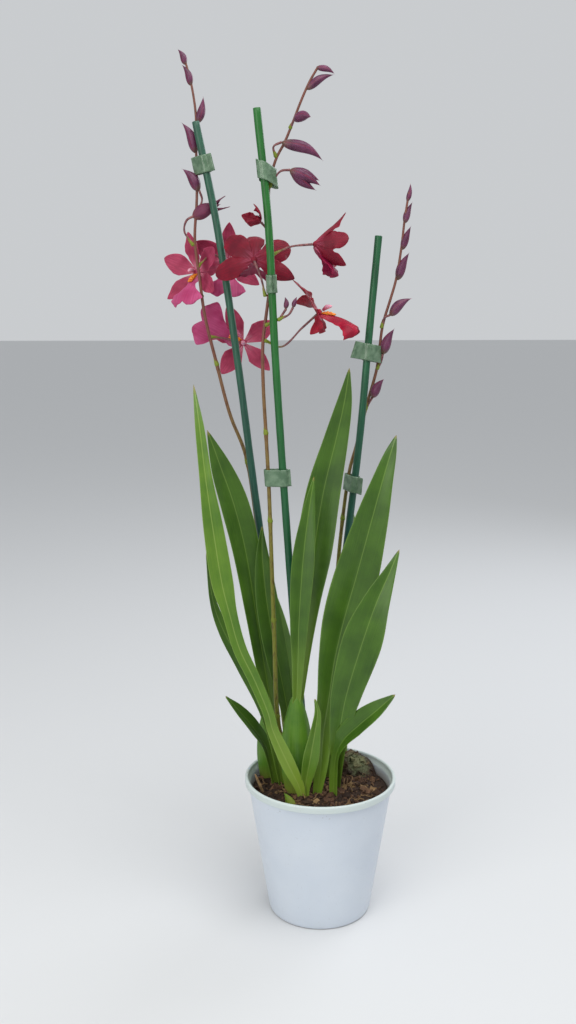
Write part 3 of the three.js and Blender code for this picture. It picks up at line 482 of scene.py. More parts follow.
# Brown spots, 1 to 3 mm long, lie along the stem.
squeezed = add(tree, "ShaderNodeMapping", {"Vector": place, "Scale": (1, 1, 0.3)})
freckle = add(tree, "ShaderNodeTexNoise", {"Vector": squeezed, "Scale": 1000 / 1.6, "Detail": 3.0})
spots = add(tree, "ShaderNodeMapRange", {0: freckle, 1: 0.52, 2: 0.64, 3: 0.0, 4: 0.6})
spotted = add(tree, "ShaderNodeMix", {0: spots, 6: skin, 7: srgb("#4f3020")}, data_type="RGBA")
tree.links.new(spotted.outputs[2], shader.inputs["Base Color"])
relief = add(tree, "ShaderNodeBump", {"Height": freckle, "Strength": 0.3, "Distance": 0.2 * MM})
tree.links.new(relief.outputs[0], shader.inputs["Normal"])

# The stalks are brown mauve, and yellow green only at the foot.
stalk_skin, tree, shader, place = start_material(
    "living_flower_stalk", Roughness=0.45, IOR=1.42, Subsurface_Weight=0.12)
shader.inputs["Subsurface Scale"].default_value = 1 * MM
along = add(tree, "ShaderNodeAttribute", attribute_name="along")
mottle = add(tree, "ShaderNodeTexNoise", {"Vector": place, "Scale": 1000 / 2.5, "Detail": 3.0})
tone = add(tree, "ShaderNodeMapRange", {0: mottle, 1: 0.35, 2: 0.65})
mauve = add(tree, "ShaderNodeMix", {0: tone, 6: srgb("#5c3038"), 7: srgb("#8a5a58")}, data_type="RGBA")
foot = add(tree, "ShaderNodeMapRange", {0: along.outputs["Fac"], 1: 0.08, 2: 0.35, 3: 0.85, 4: 0.0})
footed = add(tree, "ShaderNodeMix", {0: foot, 6: mauve, 7: srgb("#8a8f34")}, data_type="RGBA")
tree.links.new(footed.outputs[2], shader.inputs["Base Color"])
relief = add(tree, "ShaderNodeBump", {"Height": mottle, "Strength": 0.2, "Distance": 0.2 * MM})
tree.links.new(relief.outputs[0], shader.inputs["Normal"])

bract_skin, tree, shader, place = start_material(
    "papery_bract", Roughness=0.55, IOR=1.4, Subsurface_Weight=0.2)
shader.inputs["Subsurface Scale"].default_value = 1 * MM
along = add(tree, "ShaderNodeAttribute", attribute_name="along")
drying = add(tree, "ShaderNodeTexNoise", {"Vector": place, "Scale": 1000 / 4, "Detail": 3.0})
age = add(tree, "ShaderNodeMath", {0: drying, 1: along.outputs["Fac"]}, operation="MULTIPLY")
brown = add(tree, "ShaderNodeMapRange", {0: age, 1: 0.3, 2: 0.6})
papery = add(tree, "ShaderNodeMix", {0: brown, 6: srgb("#748024"), 7: srgb("#80602c")}, data_type="RGBA")
tree.links.new(papery.outputs[2], shader.inputs["Base Color"])
relief = add(tree, "ShaderNodeBump", {"Height": drying, "Strength": 0.4, "Distance": 0.2 * MM})
tree.links.new(relief.outputs[0], shader.inputs["Normal"])

bud_skin, tree, shader, place = start_material(
    "unopened_bud", Roughness=0.42, IOR=1.42, Subsurface_Weight=0.2)
shader.inputs["Subsurface Radius"].default_value = (1.0, 0.35, 0.4)
shader.inputs["Subsurface Scale"].default_value = 2 * MM
along = add(tree, "ShaderNodeAttribute", attribute_name="along")
seam = add(tree, "ShaderNodeAttribute", attribute_name="seam")
blush = add(tree, "ShaderNodeTexNoise", {"Vector": place, "Scale": 1000 / 7, "Detail": 4.0})
tone = add(tree, "ShaderNodeMapRange", {0: blush, 1: 0.32, 2: 0.68})
mauve = add(tree, "ShaderNodeMix", {0: tone, 6: srgb("#4a1c38"), 7: srgb("#6c3454")}, data_type="RGBA")
green_foot = add(tree, "ShaderNodeMapRange", {0: along.outputs["Fac"], 1: 0.0, 2: 0.22, 3: 0.6, 4: 0.0})
footed = add(tree, "ShaderNodeMix", {0: green_foot, 6: mauve, 7: srgb("#6a5c34")}, data_type="RGBA")
edge_line = add(tree, "ShaderNodeMapRange", {0: seam.outputs["Fac"], 1: 0.75, 2: 1.0, 3: 0.0, 4: 0.7})
edged = add(tree, "ShaderNodeMix", {0: edge_line, 6: footed, 7: srgb("#7c1838")}, data_type="RGBA")
tree.links.new(edged.outputs[2], shader.inputs["Base Color"])
ribs = add(tree, "ShaderNodeTexNoise", {"Vector": place, "Scale": 1000 / 0.8, "Detail": 2.0})
relief = add(tree, "ShaderNodeBump", {"Height": ribs, "Strength": 0.15, "Distance": 0.15 * MM})
tree.links.new(relief.outputs[0], shader.inputs["Normal"])


def unit(vectors):
    """Vectors brought to a length of one."""
    vectors = np.asarray(vectors, float)
    return vectors / np.maximum(np.linalg.norm(vectors, axis=-1, keepdims=True), 1e-9)


def shell_round(axis, ring_at, rows, sides, marks=None):
    """A closed round body. ring_at gives the offsets of one ring from its middle on the axis."""
    places = np.linspace(0, 1, rows)
    angles = np.linspace(0, 2 * math.pi, sides, endpoint=False)
    middle = axis(places)
    rings = np.stack([middle[i] + ring_at(places[i], angles) for i in range(rows)])
    corners = np.vstack([middle[:1], rings.reshape(-1, 3), middle[-1:]])
    along = np.concatenate([[0], np.repeat(places, sides), [1]])
    around = np.concatenate([[0], np.tile(angles / (2 * math.pi), rows), [0]])
    kept = {"along": along, "around": around}
    kept.update({mark: np.asarray(value(along, around), float) for mark, value in (marks or {}).items()})
    return {"corners": corners, "faces": ring_faces(rows, sides),
            "uv": np.column_stack([around, along]), "marks": kept}


def bud_body(base, tip, width, bend=0.1, seams=3):
    """A bud: an egg with a drawn-out tip, a slight curve, and grooves where its sepals meet."""
    base, tip = np.array(base, float), np.array(tip, float)
    forward = unit(tip - base)
    length = np.linalg.norm(tip - base)
    side = unit(np.cross(forward, [0.3, 0.2, 1.0]))
    over = np.cross(side, forward)

    def axis(t):
        t = np.atleast_1d(t)[:, None]
        return base + forward * length * t + over * length * bend * np.sin(math.pi * t ** 1.3)

    def ring(t, angles):
        belly = math.sin(math.pi * min(1, t ** 0.72 + 0.03)) ** 0.9
        swell = max(belly * (1 - 0.25 * max(0, t - 0.5)), 0.16 * (1 - t) + 0.015)
        groove = 1 - 0.09 * np.abs(np.cos(seams * angles / 2)) ** 14 - 0.03 * np.cos(2 * angles)
        radius = (width / 2) * swell * groove
        return np.outer(radius * np.cos(angles), side) + np.outer(radius * np.sin(angles), over)

    def seam(along, around):
        return np.abs(np.cos(seams * around * math.pi)) ** 8

    return shell_round(axis, ring, 30, 30, {"seam": seam})


def parted_bud(base, tip, width):
    """A bud on the point of opening: its body is blunt, and three sepal tips have sprung apart."""
    base, tip = np.array(base, float), np.array(tip, float)
    forward = unit(tip - base)
    length = np.linalg.norm(tip - base)
    side = unit(np.cross(forward, [0.0, 1.0, 0.0]))
    near = np.cross(forward, side)
    bodies = [bud_body(base, base + forward * length * 0.92, width, 0.03)]
    for aside, toward, reach in ((3.4, 0, 0.96), (0.4, 1.4, 1.06), (-3.6, -1, 1.0)):
        start = base + forward * length * 0.06 + side * aside * 0.2
        end = base + forward * length * reach + side * aside + near * toward
        bodies.append(bud_body(start, end, width * 0.8, 0.04 * np.sign(aside), 2))
    return bodies


def bract_body(route_at, joint, radius, length, reach):
    """A bract: a thin sheath that hugs the stem and ends in a point, which stands off on one side."""
    start = route_at(joint)
    forward = unit(route_at(min(1, joint + length / reach)) - start)
    side = unit(np.cross(forward, [0.2, 1, 0.1]))
    over = np.cross(side, forward)

    def axis(t):
        t = np.atleast_1d(t)[:, None]
        return start + forward * length * t + side * 0.8 * t ** 2

    def ring(t, angles):
        size = radius * (0.85 + 0.25 * min(1, t / 0.12)) * max(0.06, 1 - 0.55 * t - 0.4 * t ** 3)
        size = size * (1 + 0.04 * np.sin(5 * angles))
        return np.outer(size * np.cos(angles), side) + np.outer(size * np.sin(angles), over)

    return shell_round(axis, ring, 16, 18)


def along_route(points, places):
    """Gives the point of a route at any place from 0 to 1."""
    return lambda t: np.array([np.interp(t, places, points[:, i]) for i in range(3)])


for name, stem in STEMS.items():
    points, places, reach = even_path(stem["route"], 4)
    joint_swell = sum(0.35 * np.exp(-((places - joint) * reach / 3) ** 2) for joint in stem["joints"])
    slim = STEM_FOOT_RADIUS + (STEM_TIP_RADIUS - STEM_FOOT_RADIUS) * places
    mesh = rods(f"spike_{name}", [(points, slim + joint_swell)], 16, stem_skin)
    piece(f"spike_{name}", mesh, None, "flower_stem", [f"flower_stem_{name}"], smooth=False)
    stem_at = along_route(points, places)
    bracts = [bract_body(stem_at, joint, np.interp(joint, places, slim) + 0.55, BRACT_LENGTH, reach)
              for joint in stem["joints"]]
    routes = []
    for path in stem["stalks"] + [bud[0] for bud in stem["buds"] if len(bud[0]) > 1]:
        points, places, reach = even_path(path, 1.5)
        wrap = np.maximum(0, 1 - places * reach / STALK_WRAP)
        swell = 0.35 * np.clip((places - 0.6) / 0.4, 0, 1)
        routes.append((points, STALK_RADIUS * (1 + 0.7 * wrap + swell) + 0.05 * np.sin(places * 19)))
        bracts.append(bract_body(along_route(points, places), 0, STALK_RADIUS + 0.75,
                                 min(7, 0.6 * reach), reach))
    mesh = rods(f"stalks_{name}", routes, 12, stalk_skin)
    piece(f"stalks_{name}", mesh, None, "flower_stem", [f"flower_stem_{name}"], smooth=False)
    piece(f"bracts_{name}", mesh_of(f"bracts_{name}", bracts), bract_skin, "young_leaf",
          [f"flower_stem_{name}"])
    bodies = []
    for index, (path, tip, width) in enumerate(stem["buds"]):
        if name == "centre" and index == 0:
            bodies += parted_bud(path[-1], tip, width)
        else:
            bodies.append(bud_body(path[-1], tip, width, 0.1))
    piece(f"buds_{name}", mesh_of(f"buds_{name}", bodies), bud_skin, "bud", [f"flower_stem_{name}"])


# The tie bands: strips of thin green polyethylene tape, folded round a cane and its stem and
# pressed or stapled together at the back. The film is thin enough to show what it holds.
TAPE_WIDTH = 13
TAPE_THICKNESS = 0.7
TAPE_SLACK = 0.6
# Each band has its cane, its height, the length of its tail, and how far it tilts and tapers.
BANDS = {
    "centre_low": ("centre", 351, 2, 0.05, 0.1),
    "centre_middle": ("centre", 496, 2, 0.05, 0.1),
    "centre_top": ("centre", 577, 2, -0.5, 0.1),
    "right_low": ("right", 341, 6, 0.05, 0.1),
    "right_high": ("right", 445, 12, -0.09, 0.36),
    "left_top": ("left", 586, 5, 0.05, 0.1),
}

tape, tree, shader, place = start_material(
    "green_polyethylene_tape", Roughness=0.22, IOR=1.5, Transmission_Weight=0.35)
haze = add(tree, "ShaderNodeTexNoise", {"Vector": place, "Scale": 1000 / 5, "Detail": 3.0})
cloudy = add(tree, "ShaderNodeMapRange", {0: haze, 1: 0.35, 2: 0.65})
film = add(tree, "ShaderNodeMix", {0: cloudy, 6: srgb("#5f8062"), 7: srgb("#83a083")}, data_type="RGBA")
tree.links.new(film.outputs[2], shader.inputs["Base Color"])
# Creases run across the tape where it was folded, about 2 mm apart.
squeezed = add(tree, "ShaderNodeMapping", {"Vector": place, "Scale": (1, 1, 0.25)})
crease = add(tree, "ShaderNodeTexNoise", {"Vector": squeezed, "Scale": 1000 / 2, "Detail": 2.0})
relief = add(tree, "ShaderNodeBump", {"Height": crease, "Strength": 0.25, "Distance": 0.2 * MM})
tree.links.new(relief.outputs[0], shader.inputs["Normal"])


def at_height(points, height):
    """The point of a route that climbs at this height."""
    return np.array([np.interp(height, points[:, 2], points[:, i]) for i in range(3)])


def band_body(on, height, tail, tilt, slant):
    """A band: one ribbon that starts on the tail, goes round stem and cane, and comes back to it."""
    cane = even_path(CANES[on], 2)[0]
    stem = even_path(STEMS[on]["route"], 2)[0]
    centre = at_height(cane, height)
    axis = unit(at_height(cane, height + 4) - at_height(cane, height - 4))
    across = at_height(stem, height) - centre
    across = across - axis * across.dot(axis)
    reach = np.linalg.norm(across)
    right = across / reach
    back = np.cross(axis, right)
    big = CANE_RADIUS + TAPE_SLACK + TAPE_THICKNESS / 2
    small = STEM_FOOT_RADIUS + TAPE_SLACK + TAPE_THICKNESS / 2
    lean = math.acos((big - small) / reach)
    outline = [[-big - tail, 0.35], [-big - tail * 0.5, 0.4], [-big - 0.3, 0.5]]
    outline += [[big * math.cos(a), big * math.sin(a)] for a in np.linspace(math.pi - 0.35, lean, 12)]
    outline += [[reach + small * math.cos(a), small * math.sin(a)] for a in np.linspace(lean, -lean, 12)]
    outline += [[big * math.cos(a), big * math.sin(a)] for a in np.linspace(-lean, -math.pi + 0.35, 12)]
    outline += [[-big - 0.3, -0.5], [-big - tail * 0.5, -0.4], [-big - tail, -0.35]]
    line = spline(np.array(outline))(np.linspace(0, 1, 110))
    fore = np.gradient(line, axis=0)
    outward = unit(np.column_stack([-fore[:, 1], fore[:, 0]]))
    rows = 15
    levels = np.linspace(-TAPE_WIDTH / 2, TAPE_WIDTH / 2, rows)
    grids = []
    for side in (1, -1):
        grid = np.zeros((len(line), rows, 3))
        for i, (u, v) in enumerate(line):
            for j, level in enumerate(levels):
                thick = 0.16 * side
                crumple = 0.1 * math.sin(0.5 * level + 1.3 * u) * math.sin(0.9 * v + 0.3 * level)
                uu = u + outward[i][0] * (thick + crumple)
                vv = v + outward[i][1] * (thick + crumple)
                raised = level + tilt * (u + big)
                if u < -big:
                    uu = -big + (uu + big) * (1 - slant * level / TAPE_WIDTH)
                grid[i, j] = centre + right * uu + back * vv + axis * raised
        grids.append(grid)
    count = len(line) * rows
    corners = np.vstack([grids[0].reshape(-1, 3), grids[1].reshape(-1, 3)])
    faces = []
    for i in range(len(line) - 1):
        for j in range(rows - 1):
            a, b, c, d = (i * rows + j, (i + 1) * rows + j, (i + 1) * rows + j + 1, i * rows + j + 1)
            faces.append([a, b, c, d])
            faces.append([count + a, count + d, count + c, count + b])
        a, b = i * rows, (i + 1) * rows
        faces.append([a, count + a, count + b, b])
        a, b = a + rows - 1, b + rows - 1
        faces.append([a, b, count + b, count + a])
    for j in range(rows - 1):
        faces.append([j, j + 1, count + j + 1, count + j])
        end = (len(line) - 1) * rows + j
        faces.append([end, count + end, count + end + 1, end + 1])
    lengthwise = np.repeat(np.linspace(0, 1, len(line)), rows)
    crosswise = np.tile(np.linspace(0, 1, rows), len(line))
    uv = np.column_stack([lengthwise, crosswise])
    return {"corners": corners, "faces": faces, "uv": np.vstack([uv, uv])}


def outward_mesh(mesh):
    """Turns a closed mesh's faces to point outwards."""
    turned = bmesh.new()
    turned.from_mesh(mesh)
    bmesh.ops.recalc_face_normals(turned, faces=turned.faces)
    turned.to_mesh(mesh)
    turned.free()
    return mesh


for name, (on, height, tail, tilt, slant) in BANDS.items():
    mesh = outward_mesh(mesh_of(f"tape_{name}", [band_body(on, height, tail, tilt, slant)]))
    piece(f"tape_{name}", mesh, tape, "tie_tape", [f"tie_band_{name}"])


# The pseudobulbs: flattened, egg-shaped storage stems at the foot of each growth. They are firm
# and smooth, with faint ribs along them, and pale papery remains of old sheaths round the foot.
BULBS = {
    "front": ([-19, -12, 97], [-20, -12, 183], [12.5, 7.5]),
    "right": ([9, 14, 95], [10, 14, 168], [11, 7.5]),
    "left": ([-40, 22, 94], [-42, 22, 160], [9, 6.5]),
}

bulb_skin, tree, shader, place = start_material(
    "waxy_pseudobulb", Roughness=0.38, IOR=1.42, Subsurface_Weight=0.12)
shader.inputs["Subsurface Radius"].default_value = (0.5, 1.0, 0.25)
shader.inputs["Subsurface Scale"].default_value = 3 * MM
along = add(tree, "ShaderNodeAttribute", attribute_name="along")
around = add(tree, "ShaderNodeAttribute", attribute_name="around")
cloud = add(tree, "ShaderNodeTexNoise", {"Vector": place, "Scale": 1000 / 16, "Detail": 4.0})
tone = add(tree, "ShaderNodeMapRange", {0: cloud, 1: 0.35, 2: 0.65})
green = add(tree, "ShaderNodeMix", {0: tone, 6: srgb("#3f6a1c"), 7: srgb("#54801f")}, data_type="RGBA")
foot = add(tree, "ShaderNodeMapRange", {0: along.outputs["Fac"], 1: 0.02, 2: 0.3, 3: 0.8, 4: 0.0})
footed = add(tree, "ShaderNodeMix", {0: foot, 6: green, 7: srgb("#8a8a3c")}, data_type="RGBA")
lines = add(tree, "ShaderNodeCombineXYZ", {0: around.outputs["Fac"], 1: along.outputs["Fac"]})
drawn = add(tree, "ShaderNodeMapping", {"Vector": lines, "Scale": (34, 1.2, 1)})
fibre = add(tree, "ShaderNodeTexNoise", {"Vector": drawn, "Scale": 2.0, "Detail": 3.0})
streak = add(tree, "ShaderNodeMapRange", {0: fibre, 1: 0.4, 2: 0.7, 3: 0.0, 4: 0.2})
streaked = add(tree, "ShaderNodeMix", {0: streak, 6: footed, 7: srgb("#86a048")}, data_type="RGBA")
tree.links.new(streaked.outputs[2], shader.inputs["Base Color"])
relief = add(tree, "ShaderNodeBump", {"Height": fibre, "Strength": 0.25, "Distance": 0.3 * MM})
tree.links.new(relief.outputs[0], shader.inputs["Normal"])

for name, (foot_point, top_point, (wide, deep)) in BULBS.items():
    foot_point, top_point = np.array(foot_point, float), np.array(top_point, float)

    def bulb_axis(t, low=foot_point, high=top_point):
        return low + (high - low) * np.atleast_1d(t)[:, None]

    def bulb_ring(t, angles, wide=wide, deep=deep):
        swell = max(0.02, math.sin(math.pi * (0.16 + 0.8 * t))) ** 0.7
        if t > 0.97:
            swell *= math.sqrt(max(0.02, 1 - ((t - 0.97) / 0.03) ** 2))
        ribs = 1 + 0.012 * np.cos(9 * angles + 1.3) * math.sin(math.pi * t)
        return np.column_stack([wide * swell * ribs * np.cos(angles), deep * swell * ribs * np.sin(angles),
                                np.zeros(len(angles))])

    body = shell_round(bulb_axis, bulb_ring, 48, 56)
    piece(f"bulb_{name}", mesh_of(f"bulb_{name}", [body]), bulb_skin, "pseudobulb", [f"pseudobulb_{name}"])


# The leaves: long strap leaves, folded along a sunken midrib, thin and fairly stiff. The upper
# side is a satiny mid green with fine veins along it, the midrib a thin pale line and the foot
# yellower. The front growth's sheath leaf is younger and paler.
LEAF_THICKNESS = 1.1
BLADE_MARKS = ("along", "off_rib", "edge", "far", "upper")
LEAVES = {
    "centre_back": (
        [[-19, -8, 173, 5], [-14, -4, 217, 7], [-10, 3, 255, 11], [-5, 7, 294, 15], [2, 9, 339, 14],
         [11, 7, 379, 10], [17, 3, 409, 6], [20, -2, 435, 0.5]],
        (40, 14), (-0.1, -1, 0.1)),
    "centre_front": (
        [[-20, -11, 167, 3.4], [-19, -16, 211, 5.5], [-18, -14, 245, 8], [-15, -10, 288, 9.5],
         [-11, -6, 322, 6], [-6, -1, 353, 0.5]],
        (38, 20), (0, -1, 0.1)),
    "tall_right": (
        [[-4, -16, 98, 3.5], [-1, -21, 130, 6.5], [1, -22, 158, 8], [5, -21.5, 186, 10],
         [9, -20, 214, 13], [16, -20, 246, 17], [25, -22, 281, 17.5], [35, -26, 323, 13], [43, -26, 354, 8],
         [49, -22, 373, 4.5], [54, -16, 386, 0.5]],
        (40, 12), (-0.15, -1, 0.2)),
    "low_right": (
        [[12, -8, 97, 3.5], [12, -19, 128, 5.5], [12, -29, 152, 7.5], [14, -34, 175, 10],
         [18, -38, 198, 13], [28, -44, 237, 16], [37, -45, 265, 11], [47, -41, 287, 5], [55, -34, 303, 0.5]],
        (40, 16), (-0.25, -1, 0.25)),
    "short_right": (
        [[10, -18, 97, 4], [10, -24, 132, 5], [15, -35, 154, 8.5], [26, -44, 170, 10.5], [38, -51, 184, 8],
         [51, -55, 198, 0.6]],
        (40, 24), (-0.4, -0.7, 0.7)),
    "sheath_left": (
        [[-16, -22, 99, 2.6], [-18.5, -24.5, 113, 4.4], [-28.5, -28, 136, 6], [-39, -31, 162, 4.8],
         [-43, -33, 178, 4.8], [-53, -34, 204, 5.2], [-64, -35, 229, 5.5], [-71, -34, 255, 6],
         [-77, -32, 281, 9], [-83, -28, 321, 8], [-88, -22, 358, 5], [-92, -14, 394, 3.5],
         [-96, -2, 423, 0.5]],
        (25, 20), (0.25, -1, 0.1)),
    "sheath_right": (
        [[-12.5, -20.5, 99, 2.6], [-13.5, -22, 112, 4.2], [-10, -27, 138, 7.2], [-7, -29, 158, 5.2],
         [-5, -30, 175, 3], [-7, -30.5, 187, 0.5]],
        (30, 30), (0.1, -1, 0.15)),
    "low_left": (
        [[-30, 2, 97, 3.5], [-37, 0, 139, 6], [-46, -4, 172, 7.5], [-62, -9, 208, 8], [-76, -13, 236, 5.5],
         [-84, -17, 262, 3], [-88, -20, 300, 0.5]],
        (35, 20), (0.4, -0.8, 0.4)),
    "short_left": (
        [[-36, 6, 97, 3.5], [-43, 6, 131, 6], [-54, 0, 152, 7], [-65, -6, 169, 5], [-75, -11, 183, 0.6]],
        (35, 20), (0.5, -0.6, 0.6)),
    "tall_left": (
        [[-30, 27, 95, 4], [-36, 28, 144, 6], [-43, 30, 190, 8.5], [-50, 33, 236, 10], [-58, 34, 288, 12],
         [-67, 33, 326, 12], [-77, 31, 356, 8.5], [-87, 26, 386, 0.5]],
        (38, 14), (0.25, -1, 0.1)),
    "middle_left": (
        [[-20, 21, 95, 4], [-22, 22, 136, 5], [-27, 23, 169, 7], [-33, 24, 200, 9.5], [-39, 25, 232, 10],
         [-43, 25, 262, 8.5], [-45, 23, 289, 5], [-45, 20, 311, 0.5]],
        (38, 14), (0.1, -1, 0.1)),
    "back_right": (
        [[20, 30, 97, 4], [24, 46, 160, 8], [27, 56, 215, 12], [30, 64, 262, 10], [32, 76, 296, 5],
         [33, 86, 312, 0.5]],
        (38, 16), (0, 1, 0.4)),
    "back_left": (
        [[-8, 44, 97, 4], [-16, 56, 150, 8], [-30, 70, 205, 12], [-44, 84, 250, 9], [-52, 94, 276, 4],
         [-56, 101, 288, 0.5]],
        (38, 16), (-0.3, 1, 0.4)),
}


def leaf_skin(name, deep, bright, foot_colour, rib):
    """A waxy leaf: clouded green, finely veined, with a thin pale midrib, a yellower foot and a painted
    highlight along its edges.
    """
    material, tree, shader, place = start_material(
        name, Roughness=0.38, IOR=1.42, Subsurface_Weight=0.1)
    shader.inputs["Subsurface Radius"].default_value = (0.5, 1.0, 0.2)
    shader.inputs["Subsurface Scale"].default_value = 1 * MM
    along, off_rib, edge, far, upper = (
        add(tree, "ShaderNodeAttribute", attribute_name=mark).outputs["Fac"] for mark in BLADE_MARKS)
    # The veins lie along the leaf, about 0.8 mm apart.
    blade_place = add(tree, "ShaderNodeCombineXYZ", {0: off_rib, 1: far})
    drawn = add(tree, "ShaderNodeMapping", {"Vector": blade_place, "Scale": (1.2, 0.02, 1)})
    vein = add(tree, "ShaderNodeTexNoise", {"Vector": drawn, "Scale": 1.0, "Detail": 3.0})
    cloud = add(tree, "ShaderNodeTexNoise", {"Vector": place, "Scale": 1000 / 22, "Detail": 4.0})
    both = add(tree, "ShaderNodeMath", {0: vein, 1: 0.35, 2: cloud}, operation="MULTIPLY_ADD")
    tone = add(tree, "ShaderNodeMapRange", {0: both, 1: 0.4, 2: 0.95})
    green = add(tree, "ShaderNodeMix", {0: tone, 6: srgb(deep), 7: srgb(bright)}, data_type="RGBA")
    young = add(tree, "ShaderNodeMapRange", {0: along, 1: 0.03, 2: 0.34, 3: 0.9, 4: 0.0})
    footed = add(tree, "ShaderNodeMix", {0: young, 6: green, 7: srgb(foot_colour)}, data_type="RGBA")
    # A pale band along each edge of the leaf is a painted highlight.
    margin = add(tree, "ShaderNodeMapRange", {0: edge, 1: 0.93, 2: 1.0, 3: 0.0, 4: 0.35})
    rimmed = add(tree, "ShaderNodeMix", {0: margin, 6: footed, 7: srgb(rib)}, data_type="RGBA")
    beside = add(tree, "ShaderNodeMath", {0: off_rib}, operation="ABSOLUTE")
    line = add(tree, "ShaderNodeMapRange", {0: beside, 1: 0.2, 2: 0.6, 3: 0.34, 4: 0.0})
    ribbed = add(tree, "ShaderNodeMix", {0: line, 6: rimmed, 7: srgb(rib)}, data_type="RGBA")
    under = add(tree, "ShaderNodeMapRange", {0: upper, 1: 0.0, 2: 1.0, 3: 0.3, 4: 0.0})
    sided = add(tree, "ShaderNodeMix", {0: under, 6: ribbed, 7: srgb("#6a8a40")}, data_type="RGBA")
    tip = add(tree, "ShaderNodeMapRange", {0: along, 1: 0.975, 2: 1.0, 3: 0.0, 4: 0.8})
    tipped = add(tree, "ShaderNodeMix", {0: tip, 6: sided, 7: srgb("#8a6a34")}, data_type="RGBA")
    tree.links.new(tipped.outputs[2], shader.inputs["Base Color"])
    relief = add(tree, "ShaderNodeBump", {"Height": vein, "Strength": 0.3, "Distance": 0.3 * MM})
    tree.links.new(relief.outputs[0], shader.inputs["Normal"])
    return material


mature = leaf_skin("mature_leaf", "#2e4e10", "#476c1a", "#6c8a2c", "#84a04c")
juvenile = leaf_skin("young_sheath_leaf", "#42681a", "#628426", "#8ca43c", "#a4b464")


def blade_shell(middle, half_width, steps, across, thickness):
    """A closed thin blade. Both faces meet at its edges, where the thickness runs out."""
    t = np.linspace(0, 1, steps + 1)
    last_turn = 0.94 * math.pi / 2
    share = np.sin(np.linspace(-last_turn, last_turn, across + 1)) / math.sin(last_turn)
    tt, ss = np.meshgrid(t, share, indexing="ij")
    half = half_width(tt)
    xx = ss * half
    mid = middle(tt, xx)
    step = 1e-3
    over = middle(tt, xx + 0.05) - middle(tt, xx - 0.05)
    along = middle(np.minimum(1, tt + step), xx) - middle(np.maximum(0, tt - step), xx)
    normal = unit(np.cross(over, along))
    body = (thickness / 2) * np.sqrt(np.maximum(0, 1 - ss ** 4))
    body = body * np.sqrt(np.clip((1 - tt) / 0.02, 0, 1))
    top = mid + normal * body[..., None]
    low = mid - normal * body[..., None]
    row = across + 1
    inner = np.zeros(tt.shape, bool)
    inner[1:-1, 1:-1] = True
    low_index = np.arange(tt.size).reshape(tt.shape)
    low_index[inner] = tt.size + np.arange(inner.sum())
    corners = np.vstack([top.reshape(-1, 3), low[inner]])
    border = ~inner
    corners[np.flatnonzero(border.ravel())] = mid[border]
    faces = []
    for i in range(steps):
        for j in range(across):
            a, b, c, d = (i * row + j, i * row + j + 1, (i + 1) * row + j + 1, (i + 1) * row + j)
            faces.append([a, b, c, d])
            under = (low_index[i, j], low_index[i + 1, j], low_index[i + 1, j + 1], low_index[i, j + 1])
            faces.append([int(corner) for corner in under])
    reach = np.concatenate([[0], np.cumsum(np.linalg.norm(np.diff(mid[:, across // 2], axis=0), axis=1))])
    far = np.repeat(reach[:, None], row, 1)

    def both(values, lower=None):
        values = np.asarray(values, float)
        return np.concatenate([values.ravel(), (values if lower is None else lower)[inner]])

    sides = np.ones(tt.shape)
    sides[border] = 0.5
    marks = {"along": both(tt), "edge": both(np.abs(ss)), "off_rib": both(xx), "far": both(far),
             "upper": both(sides, np.zeros(tt.shape))}
    uv = np.column_stack([both(0.5 + 0.5 * ss), both(tt)])
    return {"corners": corners, "faces": faces, "uv": uv, "marks": marks}


def leaf_body(spine, fold, face, seed):
    """A strap leaf along its midrib. Each row of the spine is a point and half the width there."""
    spine = np.array(spine, float)
    route = spline(spine[:, :3], EVEN)
    widths = spline(spine[:, 3:], EVEN)
    upper = unit(face)

    def middle(t, x):
        inside = np.clip(t, 0, 1)
        tangent = unit(route(inside + 1e-4) - route(inside - 1e-4))
        side = unit(np.cross(tangent, upper))
        normal = unit(np.cross(side, tangent))
        rise = np.radians(fold[0] + (fold[1] - fold[0]) * np.sqrt(inside))[..., None]
        half = np.maximum(0.5, widths(inside)[..., 0])
        edge = x / half
        wave = 0.55 * edge ** 2 * np.sin(9 * inside * len(spine) / 6 + seed + 1.9 * np.sign(x)) * inside
        x = x[..., None]
        return (route(inside) + side * x * np.cos(rise)
                + normal * (np.hypot(x, 1) * np.sin(rise) + wave[..., None]))

    def half_width(t):
        half = np.maximum(0.5, widths(t)[..., 0])
        return half * np.clip(np.sqrt(np.clip((1 - t) / 0.02, 0, 1)), 0.12, 1)

    return blade_shell(middle, half_width, 12 * len(spine), 18, LEAF_THICKNESS)


for seed, (name, (spine, fold, face)) in enumerate(LEAVES.items()):
    mesh = mesh_of(f"blade_{name}", [leaf_body(spine, fold, face, 1.7 * seed)])
    fresh = name.startswith("sheath")
    piece(f"blade_{name}", mesh, juvenile if fresh else mature, "young_leaf" if fresh else "leaf",
          [f"leaf_{name}"])


# The new shoot: a small pointed shoot, still wrapped in its first pale sheath, that has just
# broken through the mix in front of the plant.
shoot_skin, tree, shader, place = start_material(
    "fresh_shoot", Roughness=0.4, IOR=1.42, Subsurface_Weight=0.2)
shader.inputs["Subsurface Scale"].default_value = 2 * MM
along = add(tree, "ShaderNodeAttribute", attribute_name="along")
cloud = add(tree, "ShaderNodeTexNoise", {"Vector": place, "Scale": 1000 / 3, "Detail": 3.0})
tone = add(tree, "ShaderNodeMath", {0: cloud, 1: along.outputs["Fac"]}, operation="ADD")
ripe = add(tree, "ShaderNodeMapRange", {0: tone, 1: 0.5, 2: 1.4})
fresh = add(tree, "ShaderNodeMix", {0: ripe, 6: srgb("#8f8f44"), 7: srgb("#647f24")}, data_type="RGBA")
tree.links.new(fresh.outputs[2], shader.inputs["Base Color"])
relief = add(tree, "ShaderNodeBump", {"Height": cloud, "Strength": 0.2, "Distance": 0.2 * MM})
